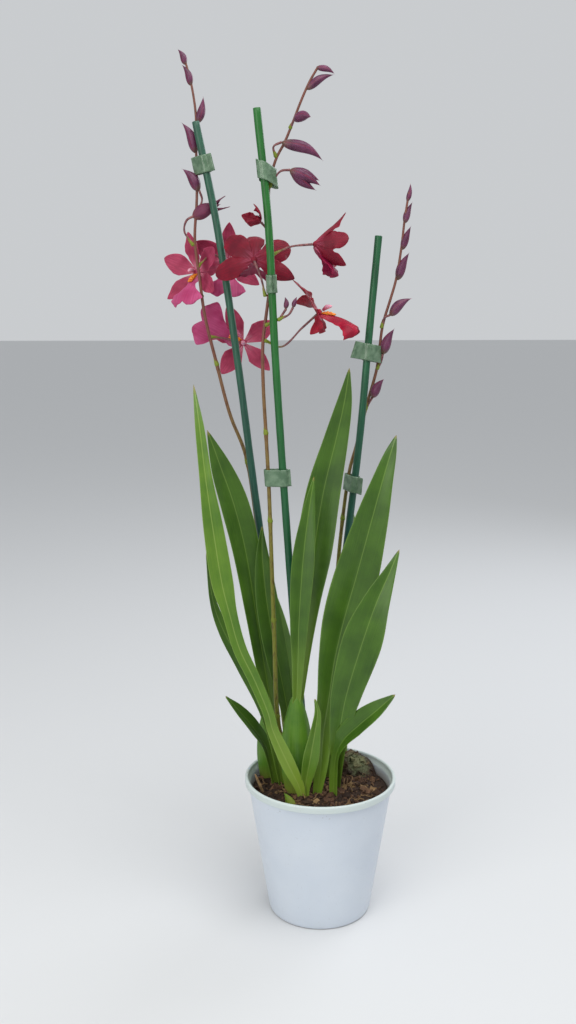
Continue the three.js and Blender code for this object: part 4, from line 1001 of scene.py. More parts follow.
tree.links.new(relief.outputs[0], shader.inputs["Normal"])
shoot_mesh = mesh_of("shoot", [bud_body([-23, -33, 94], [-31, -36, 114], 8, 0.06, 2)])
piece("shoot", shoot_mesh, shoot_skin, "young_leaf", ["new_shoot"])


# The blooms: five lance-shaped tepals round a broad, two-lobed lip, all thin, soft and finely
# veined. At the lip's foot stands an orange crest, and over it the small pinkish column. The
# crimson is deepest on the backs and pales in lines towards the throat.
SEPAL = (31, 13)
PETAL = (30, 15.5)
LIP = (36, 32)
PETAL_THICKNESS = 0.55
TEPALS = [SEPAL, PETAL, PETAL, SEPAL, SEPAL]
# Each tepal has its angle round the bloom from the top, its curl, how blunt its end is, how far
# its tip flicks back in mm, and its size.
BLOOMS = {
    "centre_left": {
        "centre": [-50, 18, 514], "facing": [0.05, 1, -0.12], "up": [0.09, 0, 1], "lean": 8, "size": 1.05,
        "tepals": [[4, 84, 1, 0, 1], [54, 50, 1, 0, 1.05], [-60, 42, 1, 0, 1.05], [112, 46, 0.8, 0, 1.1],
                   [-108, 12, 0.2, 0, 1]],
        "lip": {"lean": 84, "curl": -14, "size": 0.85, "droop": 4}, "hue": "dark"},
    "centre_right": {
        "centre": [-5, 10, 525], "facing": [0.97, 0.2, -0.12], "up": [0.12, 0, 1], "lean": 37, "size": 0.94,
        "tepals": [[0, 16, 0, 3, 1.08], [62, 34, 0.8, 0, 1], [-66, 34, 1, 0, 0.92], [132, 30, 0.3, 0, 1],
                   [-136, 34, 0.4, 0, 0.95]],
        "lip": {"lean": 54, "curl": -8, "size": 0.8, "droop": 7}, "hue": "dark"},
    "centre_low": {
        "centre": [-1, 20, 475], "facing": [0.86, -0.25, 0.46], "up": [-0.5, 0.1, 0.86], "lean": -6,
        "tepals": [[0, -14, 0, 0, 1], [50, -60, 0, 0, 1], [-62, 24, 0.7, 0, 0.75], [122, -40, 0, 0, 0.85],
                   [-122, -40, 0.2, 0, 0.75]],
        "lip": {"lean": 64, "curl": -46, "droop": 11, "waist": 0.3}, "hue": "bright"},
    "left_outer": {
        "centre": [-94, 72, 506], "facing": [-0.62, -0.75, 0.1], "up": [-0.15, 0, 1], "lean": 8,
        "tepals": [[0, 20, 0.2, 0, 1], [62, 20, 0.5, 0, 1], [-62, 20, 0.5, 0, 1], [128, 20, 0.2, 0, 1],
                   [-128, 20, 0.2, 0, 1]],
        "lip": {"lean": 55, "curl": -35, "droop": 4}, "hue": "rose"},
    "left_upper": {
        "centre": [-70, 84, 514], "facing": [0, -1, 0.05], "up": [0.06, 0, 1], "lean": 8,
        "tepals": [[0, 18, 0, 0, 1], [62, 18, 0.3, 0, 1], [-62, 18, 0.3, 0, 1], [122, 18, 0, 0, 1],
                   [-108, 18, 0.2, 0, 1]],
        "lip": {"lean": 58, "curl": -40, "droop": 4}, "hue": "rose"},
    "left_lower": {
        "centre": [-58, 70, 451], "facing": [-0.1, -1, 0.1], "up": [0.7, 0, -0.72], "lean": 8,
        "tepals": [[0, 14, 0, 0, 1], [78, 14, 0.2, 0, 1], [-78, 14, 0.2, 0, 1], [158, 14, 0.3, 0, 1],
                   [-158, 14, 0.3, 0, 1]],
        "lip": {"angle": 162, "lean": 24, "curl": -12, "size": 1.2, "droop": 4}, "hue": "rose"},
}
BLOOM_THROAT = 1.4
LIP_WIDTHS = [0.22, 0.4, 0.3, 0.5, 0.86, 1, 0.74]
LIP_NOTCH = 0.16
LIP_CORNER = 0.2


def petal_skin(name, deep, bright, throat, vein_colour):
    """A soft petal: clouded crimson with fanned veins, pale lines at its throat and a brighter rim."""
    material, tree, shader, place = start_material(
        name, Roughness=0.58, IOR=1.36, Subsurface_Weight=0.1)
    shader.inputs["Subsurface Radius"].default_value = (1.0, 0.25, 0.35)
    shader.inputs["Subsurface Scale"].default_value = 1.5 * MM
    shader.inputs["Sheen Weight"].default_value = 0.02
    shader.inputs["Sheen Roughness"].default_value = 0.4
    along, off_rib, edge, far, upper = (
        add(tree, "ShaderNodeAttribute", attribute_name=mark).outputs["Fac"] for mark in BLADE_MARKS)
    # Veins fan out from the foot, about 1 mm apart.
    flat_place = add(tree, "ShaderNodeCombineXYZ", {0: off_rib, 1: far})
    drawn = add(tree, "ShaderNodeMapping", {"Vector": flat_place, "Scale": (1.0, 0.06, 1)})
    vein = add(tree, "ShaderNodeTexNoise", {"Vector": drawn, "Scale": 1.1, "Detail": 3.0})
    veined = add(tree, "ShaderNodeMapRange", {0: vein, 1: 0.38, 2: 0.64})
    cloud = add(tree, "ShaderNodeTexNoise", {"Vector": place, "Scale": 1000 / 12, "Detail": 4.0})
    tone = add(tree, "ShaderNodeMapRange", {0: cloud, 1: 0.3, 2: 0.7})
    base = add(tree, "ShaderNodeMix", {0: tone, 6: srgb(deep), 7: srgb(bright)}, data_type="RGBA")
    lines = add(tree, "ShaderNodeMath", {0: veined, 1: 0.45}, operation="MULTIPLY")
    lined = add(tree, "ShaderNodeMix", {0: lines, 6: base, 7: srgb(vein_colour)}, data_type="RGBA")
    near = add(tree, "ShaderNodeMapRange", {0: along, 1: 0.02, 2: 0.3, 3: 0.9, 4: 0.0})
    paled = add(tree, "ShaderNodeMath", {0: near, 1: veined}, operation="MULTIPLY")
    throated = add(tree, "ShaderNodeMix", {0: paled, 6: lined, 7: srgb(throat)}, data_type="RGBA")
    margin = add(tree, "ShaderNodeMapRange", {0: edge, 1: 0.82, 2: 1.0, 3: 0.0, 4: 0.45})
    rimmed = add(tree, "ShaderNodeMix", {0: margin, 6: throated, 7: srgb(bright)}, data_type="RGBA")
    under = add(tree, "ShaderNodeMapRange", {0: upper, 1: 0.0, 2: 1.0, 3: 0.25, 4: 0.0})
    backed = add(tree, "ShaderNodeMix", {0: under, 6: rimmed, 7: srgb(deep)}, data_type="RGBA")
    tree.links.new(backed.outputs[2], shader.inputs["Base Color"])
    relief = add(tree, "ShaderNodeBump", {"Height": vein, "Strength": 0.4, "Distance": 0.4 * MM})
    tree.links.new(relief.outputs[0], shader.inputs["Normal"])
    return material


petal_skins = {
    "mauve": petal_skin("mauve_bud_tepal", "#54203c", "#7c3a54", "#8c5a50", "#481a34"),
    "dark": petal_skin("deep_crimson_petal", "#60001c", "#940428", "#b8506c", "#4c0016"),
    "bright": petal_skin("bright_crimson_petal", "#70041c", "#a00a26", "#c4607c", "#5c0418"),
    "rose": petal_skin("rose_crimson_petal", "#8a1e40", "#b44464", "#dc98ac", "#761838"),
}
lip_skins = {
    "dark": petal_skin("deep_crimson_lip", "#6a0230", "#98083c", "#cc8498", "#560226"),
    "bright": petal_skin("bright_crimson_lip", "#820426", "#b00830", "#d8606c", "#66021e"),
    "rose": petal_skin("rose_lip", "#a02c5c", "#c05484", "#e0a4b8", "#8e2450"),
}

crest_skin, tree, shader, place = start_material(
    "waxy_orange_crest", Roughness=0.35, IOR=1.42, Subsurface_Weight=0.3)
shader.inputs["Subsurface Scale"].default_value = 1.5 * MM
speck = add(tree, "ShaderNodeTexNoise", {"Vector": place, "Scale": 1000 / 1.4, "Detail": 3.0})
spots = add(tree, "ShaderNodeMapRange", {0: speck, 1: 0.36, 2: 0.62})
waxy = add(tree, "ShaderNodeMix", {0: spots, 6: srgb("#c85a18"), 7: srgb("#efa02c")}, data_type="RGBA")
tree.links.new(waxy.outputs[2], shader.inputs["Base Color"])
relief = add(tree, "ShaderNodeBump", {"Height": speck, "Strength": 0.4, "Distance": 0.4 * MM})
tree.links.new(relief.outputs[0], shader.inputs["Normal"])

column_skin, tree, shader, place = start_material(
    "waxy_pink_column", Roughness=0.35, IOR=1.42, Subsurface_Weight=0.3)
shader.inputs["Subsurface Scale"].default_value = 1.5 * MM
along = add(tree, "ShaderNodeAttribute", attribute_name="along")
cloud = add(tree, "ShaderNodeTexNoise", {"Vector": place, "Scale": 1000 / 2, "Detail": 3.0})
mixed = add(tree, "ShaderNodeMath", {0: cloud, 1: 0.5, 2: along.outputs["Fac"]}, operation="MULTIPLY_ADD")
tone = add(tree, "ShaderNodeMapRange", {0: mixed, 1: 0.3, 2: 1.1})
waxy = add(tree, "ShaderNodeMix", {0: tone, 6: srgb("#a02c54"), 7: srgb("#dc9cb0")}, data_type="RGBA")
tree.links.new(waxy.outputs[2], shader.inputs["Base Color"])


def bloom_frame(centre, facing, up):
    """A bloom's middle, and the three directions to its front, its top and its right."""
    front = unit(facing)
    top = unit(np.array(up, float) - front * np.dot(up, front))
    return np.array(centre, float), front, top, np.cross(top, front)


def bent_face(frame, angle, length, lean, curl):
    """Where a point of a tepal or lip lies, from how far out it is, how far aside and how raised."""
    centre, front, top, right = frame
    radial = top * math.cos(math.radians(angle)) + right * math.sin(math.radians(angle))
    side = np.cross(radial, front)
    first, turn = math.radians(lean), math.radians(curl)

    def place_at(reach, x, rise):
        bend = first + turn * reach
        out = length * (np.sin(bend) - math.sin(first)) / turn
        forward = length * (math.cos(first) - np.cos(bend)) / turn
        return (centre + radial * (BLOOM_THROAT + out - rise * np.sin(bend))[..., None]
                + front * (forward + rise * np.cos(bend))[..., None] + side * x[..., None])

    return place_at


def tepal_body(frame, angle, length, width, lean, curl, seed, blunt=0.0, flick=0.0):
    """One tepal: cupped, wavy at its edge and sunk along its midline."""
    place_at = bent_face(frame, angle, length, lean, curl)
    widest = 0.42 + 0.2 * blunt

    def half_width(t):
        taper = np.cos(math.pi / 2 * np.clip((t - widest) / (1 - widest), 0, 1)) ** (0.8 - 0.3 * blunt)
        return 0.12 + (width / 2 + 0.3) * np.minimum(0.12 + 2 * np.maximum(0, t), taper)

    def middle(t, x):
        edge = np.abs(x) / (width / 2)
        rise = edge ** 2 * (1.6 + 0.8 * np.sin(14 * t + angle + np.sign(x)))
        rise = rise + 0.35 * edge ** 3 * np.sin(31 * t + 2.1 * seed + 1.7 * np.sign(x))
        rise = rise - 0.5 * np.exp(-(x / 0.9) ** 2) * (1 - t) - flick * np.clip((t - 0.55) / 0.45, 0, 1) ** 2
        return place_at(t, x, rise)

    return blade_shell(middle, half_width, 34, 16, PETAL_THICKNESS)


def lip_body(frame, lip, seed):
    """The lip: narrow at its foot, then two broad frilled lobes, whose sides hang by the droop."""
    size, droop = lip.get("size", 1), lip["droop"]
    widths = spline(np.array(LIP_WIDTHS)[:, None], EVEN)
    place_at = bent_face(frame, lip.get("angle", 180), size * LIP[0], lip["lean"], lip["curl"])

    def half_width(t):
        waist = 1 - lip.get("waist", 0) * np.exp(-((t - 0.5) / 0.14) ** 2)
        return widths(np.clip(t, 0, 1))[..., 0] * size * LIP[1] / 2 * waist

    def middle(t, x):
        edge = np.minimum(1.1, np.abs(x) / half_width(t))
        lobes = -LIP_NOTCH * np.maximum(0, 1 - edge) ** 2 - LIP_CORNER * edge ** 4
        wave = 1.3 * np.sin(9 * t + 2.4 * np.sign(x)) * edge ** 2
        frill = 0.55 * np.sin(34 * t + 1.3 * seed + np.sign(x)) * edge ** 4
        frill = frill + 0.6 * np.sin(x * 1.1 + seed) * np.clip((t - 0.8) / 0.2, 0, 1)
        rise = t * (wave + frill) - (0.2 + 0.8 * t) * droop * edge ** 2
        pulled = x * (1 - 0.35 * np.clip(droop / 11 - 0.3, 0, 1) * edge ** 2)
        return place_at(t * (1 + t ** 3 * lobes), pulled, rise)

    return blade_shell(middle, half_width, 48, 36, PETAL_THICKNESS)


for seed, (name, bloom) in enumerate(BLOOMS.items()):
    bloom_at = bloom_frame(bloom["centre"], bloom["facing"], bloom["up"])
    centre, front, top, right = bloom_at
    size = bloom.get("size", 1)
    parts = []
    for index, (angle, curl, blunt, flick, share) in enumerate(bloom["tepals"]):
        length, width = (size * share * number for number in TEPALS[index])
        parts.append(tepal_body(bloom_at, angle, length, width, bloom["lean"], curl,
                                seed + index, blunt, flick))
    knob_line = lambda t: centre + front * (-1.6 + 3.8 * np.atleast_1d(t)[:, None])

    def knob_ring(t, angles):
        wide = (2.2 + t) * math.sin(math.pi * (0.12 + 0.76 * t)) ** 0.5
        return np.outer(wide * np.cos(angles), top) + np.outer(wide * np.sin(angles), np.cross(front, top))

    knob = shell_round(knob_line, knob_ring, 10, 20)
    knob["marks"] = {mark: np.full(len(knob["corners"]), value)
                     for mark, value in zip(BLADE_MARKS, (0.1, 0.5, 0.2, 1, 1))}
    parts.append(knob)
    piece(f"tepals_{name}", mesh_of(f"tepals_{name}", parts), petal_skins[bloom["hue"]], "petal",
          [f"bloom_{name}"])
    lip = bloom["lip"]
    lip_mesh = mesh_of(f"lip_{name}", [lip_body(bloom_at, lip, seed)])
    piece(f"lip_{name}", lip_mesh, lip_skins[bloom["hue"]], "petal", [f"bloom_{name}"])

    lip_angle = lip.get("angle", 180)
    face_at = bent_face(bloom_at, lip_angle, LIP[0], lip["lean"], lip["curl"])
    lip_turn = math.radians(lip_angle)
    aside = np.cross(top * math.cos(lip_turn) + right * math.sin(lip_turn), front)
    ridges = []
    for shift, swell in ((-1.5, 0.75), (0, 1), (1.5, 0.75)):
        def ridge_line(t, shift=shift):
            reach = 0.03 + 0.3 * np.atleast_1d(t)
            return face_at(reach, np.full(reach.shape, float(shift)), np.full(reach.shape, 1.2))

        def ridge_ring(t, angles, swell=swell):
            teeth = 1 + 0.25 * math.sin(26 * t + 3 * swell)
            wide = swell * (0.25 + 1.25 * math.sin(math.pi * (0.06 + 0.88 * t)) * teeth)
            near_end, far_end = face_at(np.array([0.1, 0.3]), np.zeros(2), np.zeros(2))
            lift = unit(np.cross(aside, far_end - near_end))
            return np.outer(0.8 * wide * np.cos(angles), aside) + np.outer(wide * np.sin(angles), lift)

        ridges.append(shell_round(ridge_line, ridge_ring, 18, 16))
    crest_mesh = outward_mesh(mesh_of(f"ridges_{name}", ridges))
    piece(f"ridges_{name}", crest_mesh, crest_skin, "crest", [f"crest_{name}"])

    hood = spline([centre + front * ahead + top * above
                   for ahead, above in ((3.2, 0.6), (7, 1.2), (11, 0.2))])

    def hood_ring(t, angles):
        wide = (1.3 + 0.9 * t) * math.sqrt(max(0.01, math.sin(math.pi * min(1, 0.15 + 0.84 * t))))
        wings = 1 + 0.35 * np.maximum(0, np.cos(2 * (angles - math.pi / 2))) * t
        return (np.outer(wide * wings * np.cos(angles), top)
                + np.outer(wide * np.sin(angles), np.cross(front, top)))

    column_mesh = outward_mesh(mesh_of(f"hood_{name}", [shell_round(
        lambda t: hood(np.atleast_1d(t)), hood_ring, 20, 24)]))
    piece(f"hood_{name}", column_mesh, column_skin, "column", [f"column_{name}"])


# The opening buds: two big buds on the point of opening. Their outer tepals have parted round a
# core that is still folded, and show the crimson of their inner sides.
OPENING_BUDS = {
    "centre": {
        "centre": [-46, 4, 541], "facing": [-0.8, -0.45, 0.42], "up": [0.4, 0, 0.9],
        "angles": [15, 135, 255], "length": 14, "width": 8.5, "lean": 34, "curl": 52, "core": (8, 5)},
    "left": {
        "centre": [-95.5, 56, 548], "facing": [0.93, -0.1, 0.4], "up": [-0.4, 0, 0.93],
        "angles": [10, 170], "length": 29, "width": 4.5, "lean": 85, "curl": -2, "core": (23, 11)},
}
for seed, (name, opening) in enumerate(OPENING_BUDS.items()):
    bloom_at = bloom_frame(opening["centre"], opening["facing"], opening["up"])
    centre, front = bloom_at[:2]
    length, width = opening["core"]
    core = bud_body(centre - front, centre + front * length, width, 0.04)
    count = len(core["corners"])
    place_on, turn_on = core["marks"]["along"], core["marks"]["around"]
    core["marks"] = {"along": place_on, "edge": np.full(count, 0.3), "off_rib": turn_on * 20,
                     "far": place_on * length, "upper": np.ones(count)}
    parts = [core] + [tepal_body(bloom_at, angle, opening["length"], opening["width"], opening["lean"],
                                 opening["curl"], seed + i) for i, angle in enumerate(opening["angles"])]
    hue = "dark" if name == "centre" else "mauve"
    piece(f"opening_{name}", mesh_of(f"opening_{name}", parts), petal_skins[hue], "bud",
          [f"opening_bud_{name}"])


# The potting mix: graded bark chips with some fibre, filled to just under the pot's rim. The
# chips lie at all angles, and fine brown dust and crumbs fill the gaps between them.
MIX_HEIGHT = 103
MIX_CROWN = 4
MIX_RADIUS = 54
HEAP = ([26, 33, 104], [23, 18, 12])
MOSS = np.array([32, 24, 0])
CHIP_FORMS = 5

bark, tree, shader, place = start_material("graded_pine_bark", Roughness=0.88, IOR=1.4)
tone = add(tree, "ShaderNodeAttribute", attribute_name="tone")
grain = add(tree, "ShaderNodeTexNoise", {"Vector": place, "Scale": 1000 / 2.2, "Detail": 6.0})
chip_tone = add(tree, "ShaderNodeValToRGB", {0: tone.outputs["Fac"]})
stops = chip_tone.color_ramp.elements
stops[0].color = srgb("#2b1d15")
stops[1].color = srgb("#9c8058")
for at, colour in ((0.35, "#432f22"), (0.7, "#5c4130"), (0.93, "#7a5c40")):
    stops.new(at).color = srgb(colour)
streak = add(tree, "ShaderNodeMapRange", {0: grain, 1: 0.35, 2: 0.7, 3: 0.0, 4: 0.6})
mottled = add(tree, "ShaderNodeMix", {0: streak, 6: chip_tone, 7: srgb("#2a1c14")}, data_type="RGBA")
level = add(tree, "ShaderNodeVectorMath", {0: place, 1: (1, 1, 0)}, operation="MULTIPLY")
from_moss = add(tree, "ShaderNodeVectorMath", {0: level, 1: tuple(MOSS * MM)}, operation="DISTANCE")
from_moss = from_moss.outputs["Value"]
ragged = add(tree, "ShaderNodeMath", {0: grain, 1: 12 * MM, 2: from_moss}, operation="MULTIPLY_ADD")
mossy = add(tree, "ShaderNodeMapRange", {0: ragged, 1: 12 * MM, 2: 18 * MM, 3: 0.75, 4: 0.0})
grown = add(tree, "ShaderNodeMix", {0: mossy, 6: mottled.outputs[2], 7: srgb("#6c7454")}, data_type="RGBA")
tree.links.new(grown.outputs[2], shader.inputs["Base Color"])
relief = add(tree, "ShaderNodeBump", {"Height": grain, "Strength": 0.9, "Distance": 1.0 * MM})
tree.links.new(relief.outputs[0], shader.inputs["Normal"])


def chip_tree():
    """Geometry nodes that scatter bark chips over the top of the mix and keep them in the pot."""
    tree = bpy.data.node_groups.new("bark_chips", "GeometryNodeTree")
    tree.interface.new_socket("Geometry", in_out="INPUT", socket_type="NodeSocketGeometry")
    sockets = {}
    for name, kind in (("Spacing", "NodeSocketFloat"), ("Length", "NodeSocketFloat"),
                       ("Seed", "NodeSocketInt"), ("Finish", "NodeSocketMaterial")):
        sockets[name] = tree.interface.new_socket(name, in_out="INPUT", socket_type=kind).identifier
    tree.interface.new_socket("Geometry", in_out="OUTPUT", socket_type="NodeSocketGeometry")
    given = add(tree, "NodeGroupInput")
    facing = add(tree, "GeometryNodeInputNormal")
    tall = add(tree, "ShaderNodeSeparateXYZ", {0: facing})
    upward = add(tree, "FunctionNodeCompare", {0: tall.outputs[2], 1: 0.2}, operation="GREATER_THAN")
    points = add(tree, "GeometryNodeDistributePointsOnFaces", {
        "Mesh": given.outputs["Geometry"], "Selection": upward, "Distance Min": given.outputs["Spacing"],
        "Density Max": 120000.0, "Seed": given.outputs["Seed"]}, distribute_method="POISSON")
    forms = add(tree, "GeometryNodeJoinGeometry")
    for form in range(CHIP_FORMS):
        block = add(tree, "GeometryNodeMeshCube", {
            "Size": (1.0, 0.62, 0.34), "Vertices X": 4, "Vertices Y": 3, "Vertices Z": 3})
        spot = add(tree, "GeometryNodeInputPosition")
        moved = add(tree, "ShaderNodeVectorMath", {0: spot, 1: (3.1 * form, 1.7, 5.3 * form)},
                    operation="ADD")
        lumps = add(tree, "ShaderNodeTexNoise", {"Vector": moved, "Scale": 2.6, "Detail": 2.0})
        middle = add(tree, "ShaderNodeVectorMath", {0: lumps.outputs["Color"], 1: (0.5, 0.5, 0.5)},
                     operation="SUBTRACT")
        push = add(tree, "ShaderNodeVectorMath", {0: middle}, operation="SCALE")
        push.inputs["Scale"].default_value = 0.7
        shaped = add(tree, "GeometryNodeSetPosition", {
            "Geometry": block.outputs["Mesh"], "Offset": push.outputs[0]})
        held = add(tree, "GeometryNodeGeometryToInstance", {0: shaped})
        tree.links.new(held.outputs[0], forms.inputs[0])
    pick = add(tree, "FunctionNodeRandomValue", {"Seed": 3}, data_type="INT")
    for socket in pick.inputs:
        if socket.name == "Max" and socket.type == "INT":
            socket.default_value = CHIP_FORMS - 1
    turn = add(tree, "FunctionNodeRandomValue", {0: (-0.7, -0.7, 0), 1: (0.7, 0.7, 6.28), "Seed": 5},
               data_type="FLOAT_VECTOR")
    grow = add(tree, "FunctionNodeRandomValue", {0: (0.55, 0.6, 0.6), 1: (1.35, 1.4, 1.5), "Seed": 8},
               data_type="FLOAT_VECTOR")
    sized = add(tree, "ShaderNodeVectorMath", {0: grow}, operation="SCALE")
    tree.links.new(given.outputs["Length"], sized.inputs["Scale"])
    chips = add(tree, "GeometryNodeInstanceOnPoints", {
        "Points": points.outputs["Points"], "Instance": forms, "Pick Instance": True, "Instance Index": pick,
        "Rotation": turn, "Scale": sized.outputs[0]})
    shade = add(tree, "FunctionNodeRandomValue", {"Seed": 21}, data_type="FLOAT")
    toned = add(tree, "GeometryNodeStoreNamedAttribute", {
        "Geometry": chips, "Name": "tone", "Value": shade}, data_type="FLOAT", domain="INSTANCE")
    real = add(tree, "GeometryNodeRealizeInstances", {"Geometry": toned})
    spot = add(tree, "GeometryNodeInputPosition")
    flat = add(tree, "ShaderNodeVectorMath", {0: spot, 1: (1, 1, 0)}, operation="MULTIPLY")
    out = add(tree, "ShaderNodeVectorMath", {0: flat}, operation="LENGTH")
    lift = add(tree, "ShaderNodeSeparateXYZ", {0: spot})
    # A corner that would stick through the pot's wall is drawn back to just inside it.
    inner_foot = (FOOT_RADIUS - POT_WALL - 0.8) * MM
    wall = add(tree, "ShaderNodeMath", {0: lift.outputs[2], 1: WALL_SLOPE, 2: inner_foot},
               operation="MULTIPLY_ADD")
    share = add(tree, "ShaderNodeMath", {0: wall, 1: out.outputs["Value"]}, operation="DIVIDE")
    most = add(tree, "ShaderNodeMath", {0: share, 1: 1.0}, operation="MINIMUM")
    pulled = add(tree, "ShaderNodeVectorMath", {0: flat}, operation="SCALE")
    tree.links.new(most.outputs[0], pulled.inputs["Scale"])
    upright = add(tree, "ShaderNodeCombineXYZ", {2: lift.outputs[2]})
    inside = add(tree, "ShaderNodeVectorMath", {0: pulled.outputs[0], 1: upright}, operation="ADD")
    kept = add(tree, "GeometryNodeSetPosition", {"Geometry": real, "Position": inside.outputs[0]})
    done = add(tree, "GeometryNodeSetMaterial", {"Geometry": kept, "Material": given.outputs["Finish"]})
    add(tree, "NodeGroupOutput", {"Geometry": done})
    return tree, sockets


def raise_heap(body, proud):
    """Lift the upper side of the mix into the low heap that lies at its back."""
    middle, half = np.array(HEAP[0]), np.array(HEAP[1])
    off = (body["corners"][:, :2] - middle[:2]) / half[:2]
    dome = middle[2] + (half[2] - 1.5) * np.sqrt(np.clip(1 - (off ** 2).sum(1), 0, 1)) + proud
    upper = (body["corners"][:, 2] > MIX_HEIGHT - 2.9) & ((off ** 2).sum(1) < 1)
    body["corners"][:, 2] = np.where(upper, np.maximum(body["corners"][:, 2], dome), body["corners"][:, 2])


def mix_top(radius, below=2.2):
    """The height of the crowned top of the mix at a radius, less how far the dust lies below it."""
    return MIX_HEIGHT - below + MIX_CROWN * (1 - (radius / MIX_RADIUS) ** 2)


chip_nodes, chip_sockets = chip_tree()
bed_rows = [[0, POT_FLOOR + 0.3], [pot_radius(3) - POT_WALL - 1.5, POT_FLOOR + 0.3]]
bed_rows += [[pot_radius(z) - POT_WALL - 0.4, z] for z in np.linspace(6, MIX_HEIGHT - 3, 8)]
bed_rows += [[r, mix_top(r, 2.4)] for r in np.linspace(53, 4, 26)]
bed_rows += [[0, mix_top(0, 2.4)]]
bed = lathe(bed_rows, 96)
bed_x, bed_y, bed_z = bed["corners"].T
ripple = np.sin(bed_x * 0.9) * np.cos(bed_y * 0.7) + 0.6 * np.sin(bed_x * 0.37 + bed_y * 1.3)
bed["corners"][:, 2] += np.where(bed_z > MIX_HEIGHT - 2.9, 0.7 * ripple, 0)
bed["marks"] = {"tone": np.full(len(bed["corners"]), 0.12)}
raise_heap(bed, 0)
bed_mesh = mesh_of("mix_bed", [bed])
piece("mix_bed", bed_mesh, bark, "bark", ["bark_mix"])

disc_rows = [[r, mix_top(r)] for r in np.linspace(50, 3, 16)]
disc = lathe([[0, MIX_HEIGHT - 1], *disc_rows, [0, mix_top(0)]], 72)
raise_heap(disc, 0.3)
# Each grade of chips has the least distance between two of them, their length, and its seed.
CHIP_GRADES = (("coarse", 5.2, 7.5, 4), ("small", 2.7, 3.6, 9), ("crumb", 1.7, 1.9, 15))
for name, spacing, length, seed in CHIP_GRADES:
    scatter = made_by_nodes(f"chips_{name}", mesh_of(f"disc_{name}", [disc]), chip_nodes, {
        chip_sockets["Spacing"]: spacing * MM, chip_sockets["Length"]: length * MM,
        chip_sockets["Seed"]: seed, chip_sockets["Finish"]: bark})
    piece(f"chips_{name}", scatter, None, "bark", ["bark_mix"], smooth=False)

# Dry roots and bark fibres curl over the chips, and one flat splinter leans on the pot's wall.
fibre, tree, shader, place = start_material("dry_root_fibre", Roughness=0.8, IOR=1.4)
strand = add(tree, "ShaderNodeTexNoise", {"Vector": place, "Scale": 1000 / 4, "Detail": 4.0})
aged = add(tree, "ShaderNodeMix", {0: strand, 6: srgb("#4a3424"), 7: srgb("#9a7c54")}, data_type="RGBA")
tree.links.new(aged.outputs[2], shader.inputs["Base Color"])
curling = np.random.default_rng(12)
FIBRES = 60
fibre_routes = []
while len(fibre_routes) < FIBRES:
    reach, turn = 44 * math.sqrt(curling.random()), curling.random() * 2 * math.pi
    spot, heading = np.array([reach * math.cos(turn), reach * math.sin(turn)]), curling.random() * 6.28
    points = []
    for stage in range(9):
        heading += curling.normal(0, 0.45)
        spot = spot + curling.uniform(0.9, 2.2) * np.array([math.cos(heading), math.sin(heading)])
        spot = spot * min(1, 49 / np.linalg.norm(spot))
        arch = 1.6 * math.sin(math.pi * stage / 8) * (0.4 + curling.random())
        points.append([*spot, mix_top(np.linalg.norm(spot)) + 1.6 + arch])
    fibre_routes.append((points, np.linspace(0.42, 0.2, 9)))
piece("root_fibres", rods("root_fibres", fibre_routes, 6, fibre), None, "bark", ["bark_mix"])

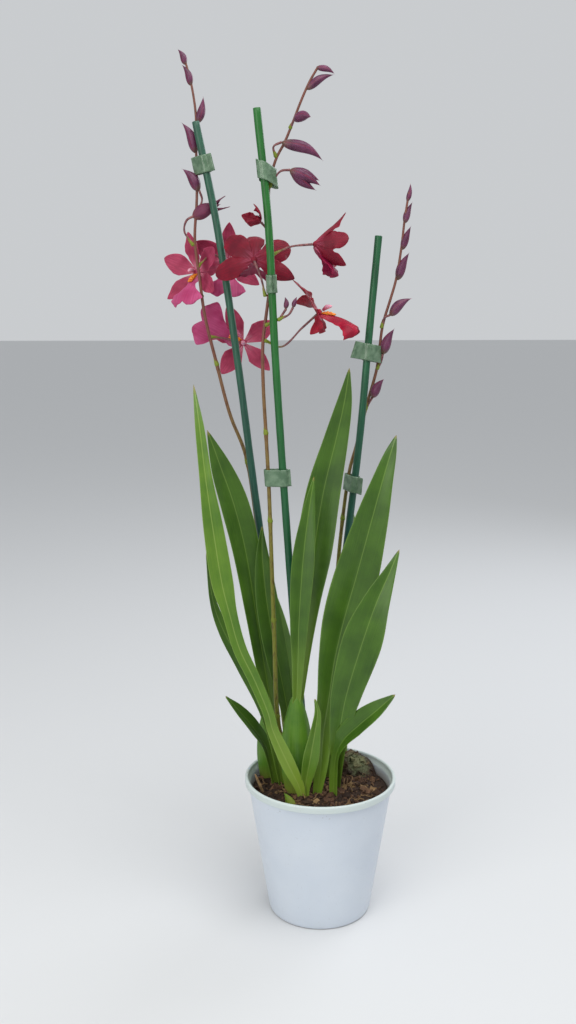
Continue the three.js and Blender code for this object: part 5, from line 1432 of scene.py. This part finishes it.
SPLINTER = ([-46.5, -12, 104], [-52, -13.5, 119])
low, high = np.array(SPLINTER[0], float), np.array(SPLINTER[1], float)
broad, thick = np.array([0.26, -0.96, 0]), np.array([0.93, 0.25, 0.35])
rings = []
for t, half_broad, half_thick in ((0, 1.9, 0.8), (0.4, 2.6, 0.9), (0.8, 2.1, 0.7), (1, 1.1, 0.4)):
    for side, face in ((-1, -1), (1, -1), (1, 1), (-1, 1)):
        rings.append(low + (high - low) * t + broad * side * half_broad + thick * face * half_thick)
wall_faces = [[4 * r + c, 4 * r + (c + 1) % 4, 4 * r + 4 + (c + 1) % 4, 4 * r + 4 + c]
              for r in range(3) for c in range(4)]
splinter = {"corners": np.array(rings), "faces": wall_faces + [[3, 2, 1, 0], [12, 13, 14, 15]],
            "uv": np.zeros((16, 2)), "marks": {"tone": np.full(16, 0.98)}}
piece("splinter", outward_mesh(mesh_of("splinter", [splinter])), bark, "bark", ["bark_mix"], smooth=False)


# The floor, the lights and the camera. The floor is plain and pale, the light is soft and comes
# mostly from above and in front, and the camera stands where the photograph was taken from,
# turned a little towards the plant.
floor_mesh = bpy.data.meshes.new("floor")
floor_mesh.from_pydata([(-14, -14, 0), (14, -14, 0), (14, 14, 0), (-14, 14, 0)], [], [(0, 1, 2, 3)])
floor = bpy.data.objects.new("floor", floor_mesh)
bpy.context.scene.collection.objects.link(floor)
floor_finish, tree, shader, place = start_material("pale_floor", Roughness=0.9)
shader.inputs["Base Color"].default_value = srgb("#d4d5d6")
floor_mesh.materials.append(floor_finish)

world = bpy.data.worlds.new("studio")
bpy.context.scene.world = world
world.use_nodes = True
world.node_tree.nodes["Background"].inputs["Color"].default_value = srgb("#e9ecef")
world.node_tree.nodes["Background"].inputs["Strength"].default_value = 0.72
bpy.context.scene.view_settings.view_transform = "Standard"


def soft_light(name, place, target, power, size, colour):
    """A square lamp, wide enough for soft shadows, turned towards its target."""
    lamp = bpy.data.lights.new(name, "AREA")
    lamp.energy = power
    lamp.size = size
    lamp.color = srgb(colour)[:3]
    holder = bpy.data.objects.new(name, lamp)
    holder.location = place
    holder.rotation_euler = (Vector(target) - Vector(place)).to_track_quat("-Z", "Y").to_euler()
    bpy.context.scene.collection.objects.link(holder)


soft_light("overhead", (0.25, -0.5, 1.5), (-0.02, 0.02, 0.35), 12, 1.0, "#ffffff")
soft_light("front_left", (-0.9, -1.1, 0.9), (-0.02, 0.02, 0.35), 9, 1.0, "#fdfbf5")
soft_light("back_right", (0.9, 0.9, 1.0), (-0.02, 0.02, 0.4), 5, 0.8, "#f4f8ff")

lens = bpy.data.cameras.new("camera")
lens.sensor_width = 36
lens.lens = 38.8
camera = bpy.data.objects.new("camera", lens)
camera.location = (-0.069, -0.826, 0.482)
camera.rotation_euler = (math.radians(79.3), 0, math.radians(-3))
bpy.context.scene.collection.objects.link(camera)
bpy.context.scene.camera = camera
